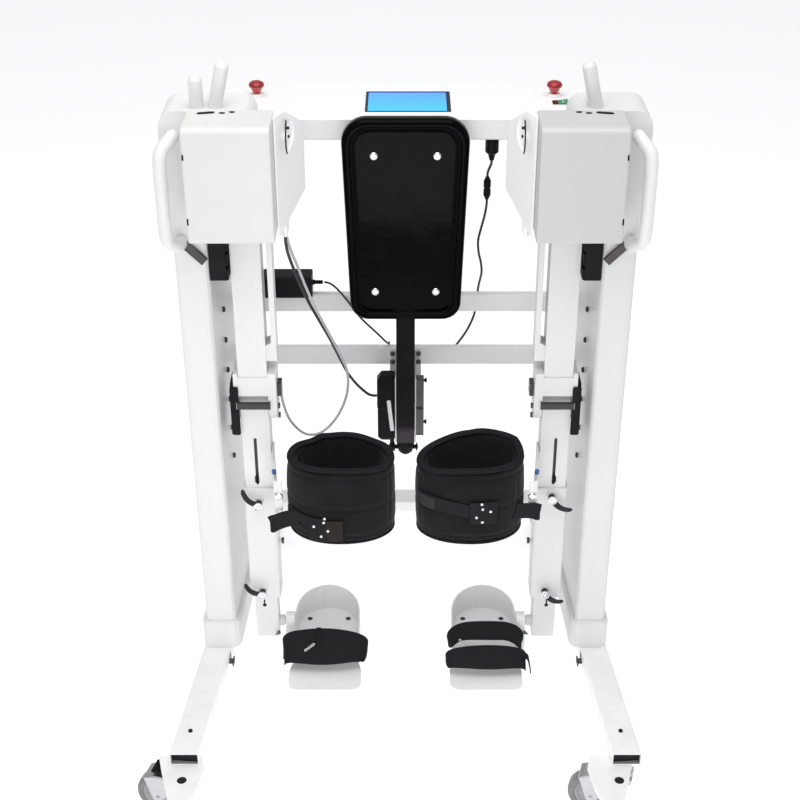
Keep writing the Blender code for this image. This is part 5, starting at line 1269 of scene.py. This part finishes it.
for tag, side in SIDES.items():
    body = f"shank_{tag}"
    for upper, end in ((True, "top"), (False, "low")):
        binding = ring_sweep(Shape(), rim_loop(side, upper), ellipse(BINDING_WIDE, BINDING_TALL, 20))
        binding.on(body, f"cuff_binding_{end}_{tag}", binding_black, 180)
    for index, (x0, x1, z0, z1, wide, finish) in enumerate(CUFF_STRAPS[tag]):
        path = round_cuff(side, x0, x1, z0, z1, STRAP_OFF + STRAP_STEP * index)
        band(Shape(), path, wide, TAPE_THICK).on(body, f"cuff_strap_{index}_{tag}", finish, 50)
    for index, (x0, x1, z, tall, finish) in enumerate(PATCHES[tag]):
        path = round_cuff(side, x0, x1, z, z, PATCH_OFF + PATCH_STEP * index, 16)
        band(Shape(), path, tall, TAPE_THICK).on(body, f"cuff_patch_{index}_{tag}", finish, 50)
    fold = smooth_path(np.array(TABS[tag]) * (side, 1, 1) + MOVE, 40)
    band(Shape(), fold, TAB_WIDE, TAB_THICK).on(body, f"cuff_tab_{tag}", strap_black, 50)
    studs = Shape()
    for x, z in CUFF_RIVETS[tag]:
        lathe(studs, RIVET, spot(x, float(cuff_front(side, x, RIVET_OFF)), z), (0, -1, 0), 16)
    studs.on(body, f"cuff_rivets_{tag}", chrome, 35)
print("bindings, straps, patches, tabs and rivets")

# %% [markdown]
# A folded strip of coated steel carries each cuff on its shank: it runs forward along the tube and turns
# in behind the padding. A plated screw and a blue peg sit on it.

# %% Cuff brackets
BRACKET_Z, BRACKET_TALL, BRACKET_THICK = 0.627, 0.070, 0.0036
BRACKET = [(0.2757, 0.0640), (0.2757, 0.0300), (0.2757, 0.0060), (0.2735, -0.0040), (0.2660, -0.0300),
           (0.2650, -0.0400), (0.2650, -0.0780), (0.2620, -0.0850), (0.2540, -0.0880), (0.2480, -0.0885)]
PEG = [(0.0035, 0), (0.0048, 0.0008), (0.0048, 0.0075), (0.0036, 0.0090)]
for tag, side in SIDES.items():
    body = f"shank_{tag}"
    plan = np.array([(side * x, y, BRACKET_Z) for x, y in BRACKET]) + MOVE
    bracket = band(Shape(), smooth_path(plan, 60), BRACKET_TALL, BRACKET_THICK)
    bracket.on(body, f"cuff_bracket_{tag}", white_leg)
    screw = lathe(Shape(), DOME, spot(side * 0.2553, -0.0900, 0.628), (0, -1, 0), 20)
    screw.on(body, f"cuff_screw_{tag}", chrome, 35)
    peg = lathe(Shape(), PEG, spot(side * 0.2650, -0.060, 0.6622), (0, 0, 1), 16)
    peg.on(body, f"cuff_peg_{tag}", peg_blue, 35)
print("two brackets")

# %% [markdown]
# Foot straps. The viewer's left strap lies flat over the tray in two layers; the right one has slipped
# open, with a gap between an upper and a lower length, and a loose tab hanging outside.

# %% Foot straps
FOOT_X = 0.176
TRAY_LEVEL = 0.144
SLOPE = (0.0, 0.72, 0.69)


def over_foot(side, turn, half, rise, y, lean):
    """Path over the tray: x = half |cos|^0.5, z = level + rise sin^0.45, y + lean sin."""
    angle = np.linspace(*turn, 64)
    c, s = np.cos(angle), np.clip(np.sin(angle), 0, 1)
    x = side * (FOOT_X + half * np.sign(c) * np.abs(c) ** 0.5)
    z = TRAY_LEVEL + rise * s ** 0.45
    return smooth_path(np.stack([x, y + lean * s, z], 1)[::4], 90) + MOVE


def tape_over(name, path, wide, thick, swell, tag):
    """A tape whose width climbs from the toe towards the heel, broader by swell in the middle of its run."""
    run = np.linspace(0, np.pi, len(path))
    section = rounded_box(thick, wide, thick * 0.48, 4)
    _, across, along = frames_along(path, SLOPE)
    ends = (0.62 + 0.38 * np.sqrt(np.sin(run).clip(0))) * np.sqrt(np.clip(9 * np.sin(run), 0.12, 1))
    grown = (1 + swell * np.sin(run) ** 2) * ends
    places = (path[:, None] + section[None, :, :1] * across[:, None]
              + grown[:, None, None] * section[None, :, 1:] * along[:, None])
    made = Shape().grid(places, wrap_columns=True, caps=True).on(f"foot_{tag}", name, strap_black, 50)
    return made


print("tapes can cross a foot tray")

# %% [markdown]
# Each tape is again a row of facts: its tray, how far round it goes, its half width and its rise, where
# it lies along Y and how it leans, then its own width, thickness and swell.

# %% Tapes over the trays
FOOT_TAPES = {
    "foot_strap_under_l": ("l", (0.03, np.pi - 0.03), 0.0905, 0.055, -0.035, -0.010, 0.070, 0.0030, 0.14),
    "foot_strap_over_l": ("l", (0.05, np.pi * 0.55), 0.0935, 0.0585, -0.026, -0.006, 0.052, 0.0028, 0.0),
    "foot_strap_back_r": ("r", (0.04, np.pi - 0.05), 0.0800, 0.071, -0.024, 0.014, 0.042, 0.0030, 0.0),
    "foot_strap_front_r": ("r", (0.03, np.pi - 0.03), 0.0870, 0.046, -0.058, -0.012, 0.048, 0.0030, 0.10),
}
STRAP_NODES = {"foot_strap_under_l": "foot_strap_l", "foot_strap_back_r": "foot_strap_r"}
for name, (tag, turn, half, rise, y, lean, wide, thick, swell) in FOOT_TAPES.items():
    tape = tape_over(name, over_foot(SIDES[tag], turn, half, rise, y, lean), wide, thick, swell, tag)
    if name in STRAP_NODES:
        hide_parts(STRAP_NODES[name])

# %% [markdown]
# A wire hoop holds the lengths of each strap together. On the viewer's left a keeper holds the spare
# end down, and on the right a loose tab hangs outside the tray.

# %% Loops, keeper and loose tab
def hoop(centre, u, v, wide, tall, wire):
    """A wire hoop: a rounded oblong path in the plane of u and v."""
    loop = rounded_box(wide, tall, min(wide, tall) * 0.42, 6)
    path = np.asarray(centre) + loop[:, :1] * unit(u) + loop[:, 1:] * unit(v)
    return ring_sweep(Shape(), path, ellipse(2 * wire, 2 * wire, 10), unit(np.cross(u, v)))


LOOP_TALL, LOOP_WIRE = 0.0030, 0.0008
FOOT_LOOPS = {
    "l": ((-0.2190, -0.0700, 0.2080), (-0.1985, -0.0560, 0.2160)),
    "r": ((0.1180, -0.0300, 0.2060), (0.1440, -0.0500, 0.2010)),
}
for tag, ends in FOOT_LOOPS.items():
    a, b = (spot(*end) for end in ends)
    upwards = np.cross(b - a, (0.0, -0.7, 0.7))
    loop = hoop((a + b) / 2, b - a, upwards, float(np.linalg.norm(b - a)), LOOP_TALL, LOOP_WIRE)
    loop.on(f"foot_{tag}", f"foot_loop_{tag}", chrome, 60)

KEEPER = [(-0.1905, -0.0480, 0.1950), (-0.1905, -0.0440, 0.2040), (-0.1905, -0.0280, 0.2200),
          (-0.1905, -0.0140, 0.2260)]
LOOSE_TAB = [(0.2600, -0.052, 0.182), (0.2680, -0.056, 0.176), (0.2720, -0.062, 0.162),
             (0.2745, -0.068, 0.146)]
keeper = band(Shape(), smooth_path(np.array(KEEPER) + MOVE, 30), 0.011, 0.0030, (1, 0, 0))
keeper.on("foot_l", "foot_keeper_l", binding_black, 50)
hanging = band(Shape(), smooth_path(np.array(LOOSE_TAB) + MOVE, 24), 0.020, 0.0026, (0, 1, 0))
hanging.on("foot_r", "foot_strap_tab_r", strap_black, 50)
print("loops, keeper and the loose tab")

# %% [markdown]
# The knee is closed outside by a black cover: a side plate and a narrow lip that turns round to the front.

# %% Knee covers
KNEE_Z = 0.7655
COVER_X, COVER_Y, COVER_THICK = 0.3460, 0.045, 0.0072
LIP_X, LIP_Y, LIP_THICK = 0.3448, 0.0142, 0.0036
for tag, side in SIDES.items():
    cover = Shape()
    slab(cover, rounded_box(0.062, 0.123, 0.012, 6), spot(side * COVER_X, COVER_Y, KNEE_Z), (0, 1, 0),
         (0, 0, side), COVER_THICK, 0.0016, 4)
    slab(cover, rounded_box(0.0178, 0.112, 0.004, 4), spot(side * LIP_X, LIP_Y, KNEE_Z), (1, 0, 0),
         (0, 0, 1), LIP_THICK, 0.0010, 3)
    cover.on(f"thigh_{tag}", f"knee_cover_{tag}", black_block, 35)
print("two knee covers")

# %% [markdown]
# Clamp levers: a bright ring round the pivot, a black cap in it, and a bowed arm that gets thinner
# towards its rounded tip.

# %% Clamp levers
LEVERS = {
    ("upper", "l"): (-0.3080, 0.544, 180 - 51, 0.052), ("lower", "l"): (-0.3115, 0.310, 180 - 37, 0.047),
    ("upper", "r"): (0.3060, 0.560, -32, 0.052), ("lower", "r"): (0.3035, 0.312, -28, 0.047),
}
LEVER_Y, HUB_FACE, RING_FACE = -0.0030, 0.0084, -0.0066
ROOT_HALF, TIP_HALF, ARM_HALF_DEEP = 0.0070, 0.0050, 0.0030
BOW, FORWARD_BOW = 0.007, 0.0022
CAP = [(0.0068, 0.001), (0.0070, 0.0022), (0.0070, 0.0140), (0.0060, 0.0148), (0.0020, 0.0150)]
BRIGHT_RING = [(0.0062, 0.0), (0.0096, 0.0), (0.0102, 0.0007), (0.0102, 0.0024), (0.0094, 0.0032),
               (0.0078, 0.0034), (0.0068, 0.0024)]
BRIGHT_PIN = [(0.0040, 0.0), (0.0040, 0.0030), (0.0034, 0.0038), (0.0010, 0.0042)]


def squarish(count):
    """A circle grown towards a square: cos and sin, each to the power 0.7 with its sign kept."""
    angle = np.linspace(0, 2 * np.pi, count, endpoint=False)
    c, s = np.cos(angle), np.sin(angle)
    return np.stack([np.sign(c) * np.abs(c) ** 0.7, np.sign(s) * np.abs(s) ** 0.7], 1)


def lever_arm(x, z, turn, length, bow):
    """Middle line: pivot + length t towards turn degrees + bow sin(pi t) across, thinner to the tip."""
    way = np.array([math.cos(math.radians(turn)), 0, math.sin(math.radians(turn))])
    across = np.array([-way[2], 0, way[0]])
    t = np.linspace(0, 1, 26)
    root, tip = (t * length + 0.004) / 0.006, np.sqrt(np.clip((1 - t) * length / 0.005, 0, 1))
    ease = np.minimum(1, np.minimum(root, tip))
    half = (ROOT_HALF + (TIP_HALF - ROOT_HALF) * t) * np.clip(ease, 0.12, 1)
    deep = ARM_HALF_DEEP * np.clip(ease, 0.15, 1)
    middle = spot(x, LEVER_Y, z) + np.outer(t * length, way) + np.outer(bow * np.sin(np.pi * t), across)
    middle[:, 1] -= FORWARD_BOW * np.sin(np.pi * t)
    section = squarish(20)
    return (middle[:, None] + half[:, None, None] * section[None, :, :1] * across
            + deep[:, None, None] * section[None, :, 1:] * np.array([0, -1.0, 0]))


for (level, tag), (x, z, turn, length) in LEVERS.items():
    body = f"{level}_lever_{tag}"
    arm = Shape().grid(lever_arm(x, z, turn, length, -SIDES[tag] * BOW), wrap_columns=True, caps=True)
    lathe(arm, CAP, spot(x, HUB_FACE, z), (0, -1, 0), 28)
    arm.on(body, f"{level}_lever_arm_{tag}", charcoal, 45, f"lever_{level}_{tag}")
    ring = lathe(Shape(), BRIGHT_RING, spot(x, RING_FACE, z), (0, -1, 0), 32)
    lathe(ring, BRIGHT_PIN, spot(x, RING_FACE, z), (0, -1, 0), 20)
    ring.on(body, f"{level}_lever_ring_{tag}", chrome, 35)
print("four clamp levers")

# %% [markdown]
# Small pieces on the legs and the base: the pointer in each shank slot, a plug inside each open tube
# end, the rubber bung in each caster plate's hole, a stud on each base leg, and beside each hip a dark
# strip of painted shadow round the near rim of the recess of its cover.

# %% Pointers, plugs and painted shadows
RECESS_X, RECESS_Y, RECESS_Z, RECESS_R = 0.2156, 0.002, 1.354, 0.032
RIM_SHADOW_POINTS = 40
LEG_SLANT = 0.0963
BUNG = [(0.0094, 0.0), (0.0099, 0.0010), (0.0099, 0.0050), (0.0085, 0.0062), (0.0060, 0.0050),
        (0.0005, 0.0046)]
STUD = [(0.0046, 0.0), (0.0046, 0.0042), (0.0040, 0.0052), (0.0022, 0.0053), (0.0018, 0.0046),
        (0.0005, 0.0045)]
RECESS_PIN = [(0.0028, 0.0), (0.0028, 0.0052), (0.0018, 0.0060)]
for tag, side in SIDES.items():
    pointer = slab(Shape(), rounded_box(0.0085, 0.0150, 0.0015, 3), spot(side * 0.3100, 0.0194, 0.5960),
                   (1, 0, 0), (0, 0, 1), 0.0016, 0.0005, 2)
    pointer.on(f"shank_{tag}", f"slot_pointer_{tag}", black_nylon, 35)
    plugs = slab(Shape(), rounded_box(0.0520, 0.0220, 0.0020, 3), spot(side * 0.4492, -0.3270, 0.1500),
                 (1, side * LEG_SLANT, 0), (0, 0, 1), 0.0030, 0.0008, 2)
    lathe(plugs, BUNG, spot(side * PLATE_HOLE_X[tag], -0.3811, 0.1300), (0, 0, 1), 28)
    plugs.on("frame", f"base_plugs_{tag}", black_rubber, 35)
    stud = lathe(Shape(), STUD, spot(side * 0.4439, -0.2740, 0.1653), (0, 0, 1), 24)
    stud.on("frame", f"base_stud_{tag}", black_steel, 35)

    # Painted shadow: a dark strip along the near half of the recess's rim, with the recess's two screws.
    angle = np.radians(np.linspace(105, 250, RIM_SHADOW_POINTS))
    level = np.full(RIM_SHADOW_POINTS, side * (RECESS_X - 0.0012))
    groove = np.stack([level, RECESS_Y + RECESS_R * np.cos(angle), RECESS_Z + RECESS_R * np.sin(angle)], 1)
    line = sweep(Shape(), groove + MOVE, ellipse(0.0030, 0.0030, 10), (1, 0, 0))
    for height in (1.368, 1.352):
        lathe(line, RECESS_PIN, spot(side * RECESS_X, RECESS_Y, height), (-side, 0, 0), 16)
    line.on("frame", f"cover_groove_{tag}", charcoal)
print("pointers, plugs, studs and rim_shadows")

# %% [markdown]
# Three more show in the middle and at the ankles: a teal wedge over each ankle, the two limit switches'
# knobs beside the actuator, and a pale strip of painted highlight on the actuator's front.

# %% Wedges, knobs and the actuator's highlight
WEDGE = np.array([(-0.006, -0.006), (0.006, -0.004), (0.006, 0.006), (0.0, 0.003)])
KNOB = [(0.0030, 0.0), (0.0030, 0.0020), (0.0050, 0.0024), (0.0052, 0.0052), (0.0038, 0.0064),
        (0.0008, 0.0066)]
for tag, x in {"l": -0.2850, "r": 0.2690}.items():
    wedge = slab(Shape(), WEDGE * (-SIDES[tag], 1), spot(x, 0.0195, 0.1860), (1, 0, 0), (0, 0, 1), 0.0024,
                 0.0004, 2)
    wedge.on(f"lower_leg_{tag}", f"ankle_wedge_{tag}", wedge_teal, 35)
knobs = Shape()
for height in (0.6045, 0.7100):
    lathe(knobs, KNOB, spot(0.0401, 0.2370, height), (1, 0, 0), 20)
knobs.on("frame", "switch_knobs", black_nylon, 35)
# Painted highlight: a pale strip down the actuator's front stands for the highlight on it.
plate = slab(Shape(), rounded_box(0.0085, 0.078, 0.0020, 3), spot(-0.0330, 0.2152, 0.6330), (1, 0, 0.10),
             (-0.10, 0, 1), 0.0016, 0.0004, 2)
plate.on("frame", "actuator_plate", white_leg, 35)
print("wedges, knobs and plate")

# %% [markdown]
# Caster wheels. The tyre is a closed ring turned round the axle with a slightly crowned tread; the hub
# inside it is a dished disc with a raised boss.

# %% Caster wheels
TYRE = [(0.0345, -0.0135), (0.0375, -0.0157), (0.0430, -0.0158), (0.0470, -0.0140), (0.0492, -0.0105),
        (0.0499, -0.0050), (0.0500, 0.0), (0.0499, 0.0050), (0.0492, 0.0105), (0.0470, 0.0140),
        (0.0430, 0.0158), (0.0375, 0.0157), (0.0345, 0.0135), (0.0338, 0.0)]
HUB = [(0.0060, -0.0150), (0.0105, -0.0150), (0.0115, -0.0138), (0.0125, -0.0105), (0.0180, -0.0088),
       (0.0270, -0.0092), (0.0300, -0.0122), (0.0345, -0.0130), (0.0345, 0.0130), (0.0300, 0.0122),
       (0.0270, 0.0092), (0.0180, 0.0088), (0.0125, 0.0105), (0.0115, 0.0138), (0.0105, 0.0150),
       (0.0060, 0.0150)]
AXLES = {"front": (0.2588, 0.9659, 0.0), "rear": (1.0, 0.0, 0.0)}
for end, axle in AXLES.items():
    for tag in SIDES:
        node, body = f"caster_wheel_{end}_{tag}", f"wheel_{end}_{tag}"
        low, high = (np.array(corner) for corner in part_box(node))
        centre = (low + high) / 2
        tyre = lathe(Shape(), TYRE, centre, axle, 72, ring=True)
        tyre.on(body, f"caster_tyre_{end}_{tag}", tyre_grey, 45, node)
        lathe(Shape(), HUB, centre, axle, 56).on(body, f"caster_hub_{end}_{tag}", wheel_grey, 35)
        print(node, "turns about", np.round(centre - MOVE, 4))

# %% [markdown]
# On the viewer's right the shoulder is shorter, so that the rocker shows beside it: a copy of the pillar
# has the round end of its shoulder moved outwards along X.

# %% Shorter right shoulder
LOBE_SHIFT = 0.024
LOBE_X, LOBE_Z = (0.0, 0.318), (1.3575, 1.4012)


def shorter_lobe(node, finish):
    """Copies the node's mesh into frame coordinates and moves every point of the shoulder's inner end."""
    source = bpy.data.objects[node]
    mesh = source.data.copy()
    mesh.transform(source.matrix_world)
    places = coordinates(mesh)
    x, z = places[:, 0] - MOVE[0], places[:, 2]
    inner = (z > LOBE_Z[0]) & (z < LOBE_Z[1]) & (x < LOBE_X[1]) & (x > LOBE_X[0])
    places[inner, 0] += LOBE_SHIFT
    mesh.vertices.foreach_set("co", places.ravel())
    mesh.update()
    mesh.materials.clear()
    mesh.materials.append(finish)
    made = bpy.data.objects.new(f"{node}_column", mesh)
    bpy.context.collection.objects.link(made)
    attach(made, "frame")
    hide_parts(node)
    print(made.name, int(inner.sum()), "points moved")


shorter_lobe("pillar_r", bpy.data.materials["pillar_coat_r"])

# %% [markdown]
# Painted shadow: a grey band on the pillar's front, from the lower elbow of each grab handle down to the
# slider block, stands for the shadow that the hip box casts there.

# %% Painted shadow of the hip boxes
BOX_SHADOW_X, BOX_SHADOW_Y, BOX_SHADOW_Z = 0.4, -0.0035, 1.13
BOX_SHADOW = np.array([(0.4270, 1.1440), (0.4150, 1.1540), (0.3740, 1.1130), (0.3850, 1.1010)])
for tag, side in SIDES.items():
    outline = (BOX_SHADOW - (BOX_SHADOW_X, BOX_SHADOW_Z)) * (side, 1)
    box_shadow = slab(Shape(), outline, spot(side * BOX_SHADOW_X, BOX_SHADOW_Y, BOX_SHADOW_Z), (1, 0, 0), (0, 0, 1), 0.0080,
                  0.0012, 3)
    box_shadow.on("frame", f"handle_gusset_{tag}", box_shadow_grey, 35)
print("two box_shadows")

# %% [markdown]
# On the housing's top lie a long slot and two oval holes. A thin black sheet over each, a hair above
# the shell, is painted shade for the hole.

# %% Painted shade in the housing holes
SHADE_SHEET_Z = 1.402 + 0.0001
SHADE_SHEET_THICK, SHEET_EDGE = 0.0007, 0.0003
OVALS = ((0.327, -0.0160), (0.310, -0.0110))
EDGE_MARKS = ((1.350, 0.011), (1.228, 0.013))
for tag, side in SIDES.items():
    # Painted shade: black sheets over the slot and the oval holes.
    hole_shade = slab(Shape(), rounded_box(0.031, 0.0105, 0.0045, 5), spot(side * 0.3560, -0.0155, SHADE_SHEET_Z),
                   unit((side * 0.98, -0.20, 0)), unit((side * 0.20, 0.98, 0)) * side, SHADE_SHEET_THICK,
                   SHEET_EDGE, 2)
    for x, y in OVALS:
        slab(hole_shade, ellipse(0.0120, 0.0074, 20), spot(side * x, y, SHADE_SHEET_Z), (1, 0.1 * side, 0),
             (-0.1 * side, 1, 0), SHADE_SHEET_THICK, SHEET_EDGE, 2)
    hole_shade.on("frame", f"housing_inserts_{tag}", black_nylon, 35)
    edge_marks = Shape()
    for z, tall in EDGE_MARKS:
        slab(edge_marks, rounded_box(0.0030, tall, 0.0012, 3), spot(side * 0.3905, -0.1002, z), (1, 0, 0),
             (0, 0, 1), 0.0008, SHEET_EDGE, 2)
    edge_marks.on("frame", f"housing_marks_{tag}", black_nylon, 35)
print("inserts of the housings")

# %% [markdown]
# The emergency stops are turned shapes: a broad waisted head on a stem.

# %% Stop buttons
STOP_X, STOP_Y = 0.304, 0.3675
CONSOLE_TOP = 1.305
STOP_HEAD = [(0.0060, -0.0135), (0.0064, -0.0120), (0.0065, 0.0110), (0.0098, 0.0120), (0.0104, 0.0140),
             (0.0112, 0.0165), (0.0140, 0.0195), (0.0153, 0.0208), (0.0158, 0.0225), (0.0158, 0.0245),
             (0.0151, 0.0265), (0.0132, 0.0288), (0.0105, 0.0305), (0.0070, 0.0317), (0.0030, 0.0322)]
for tag, side in SIDES.items():
    head = lathe(Shape(), STOP_HEAD, spot(side * STOP_X, STOP_Y, CONSOLE_TOP), (0, 0, 1), 48)
    head.on(f"stop_{tag}", f"stop_head_{tag}", stop_red, 50, f"stop_button_{tag}")
print("two stop buttons")

# %% [markdown]
# The sweep of pale floor comes last: it belongs to the studio and not to the object.

# %% Floor
FLOOR_HALF = 14
FLOOR_WHITE = (0.93, 0.935, 0.94)


def studio_floor():
    """A wide flat square that glows a little, like a lit table, so that it stays white under the frame."""
    corners = [(-1, -1, 0), (1, -1, 0), (1, 1, 0), (-1, 1, 0)]
    mesh = bpy.data.meshes.new("studio_floor")
    mesh.from_pydata(FLOOR_HALF * np.array(corners, float), [], [(0, 1, 2, 3)])
    floor_paint = Finish("floor_paint", FLOOR_WHITE, 0.7)
    cloud = floor_paint.noise(1.5, 2.0, 0.5)
    floor_paint.set("Base Color", floor_paint.blend(cloud * 0.3, FLOOR_WHITE, (0.90, 0.905, 0.91)))
    floor_paint.set("Emission Color", (1.0, 1.0, 1.0, 1.0))
    floor_paint.set("Emission Strength", FLOOR_GLOW)
    mesh.materials.append(floor_paint.material)
    made = bpy.data.objects.new("studio_floor", mesh)
    bpy.context.collection.objects.link(made)
    return made


studio_floor()
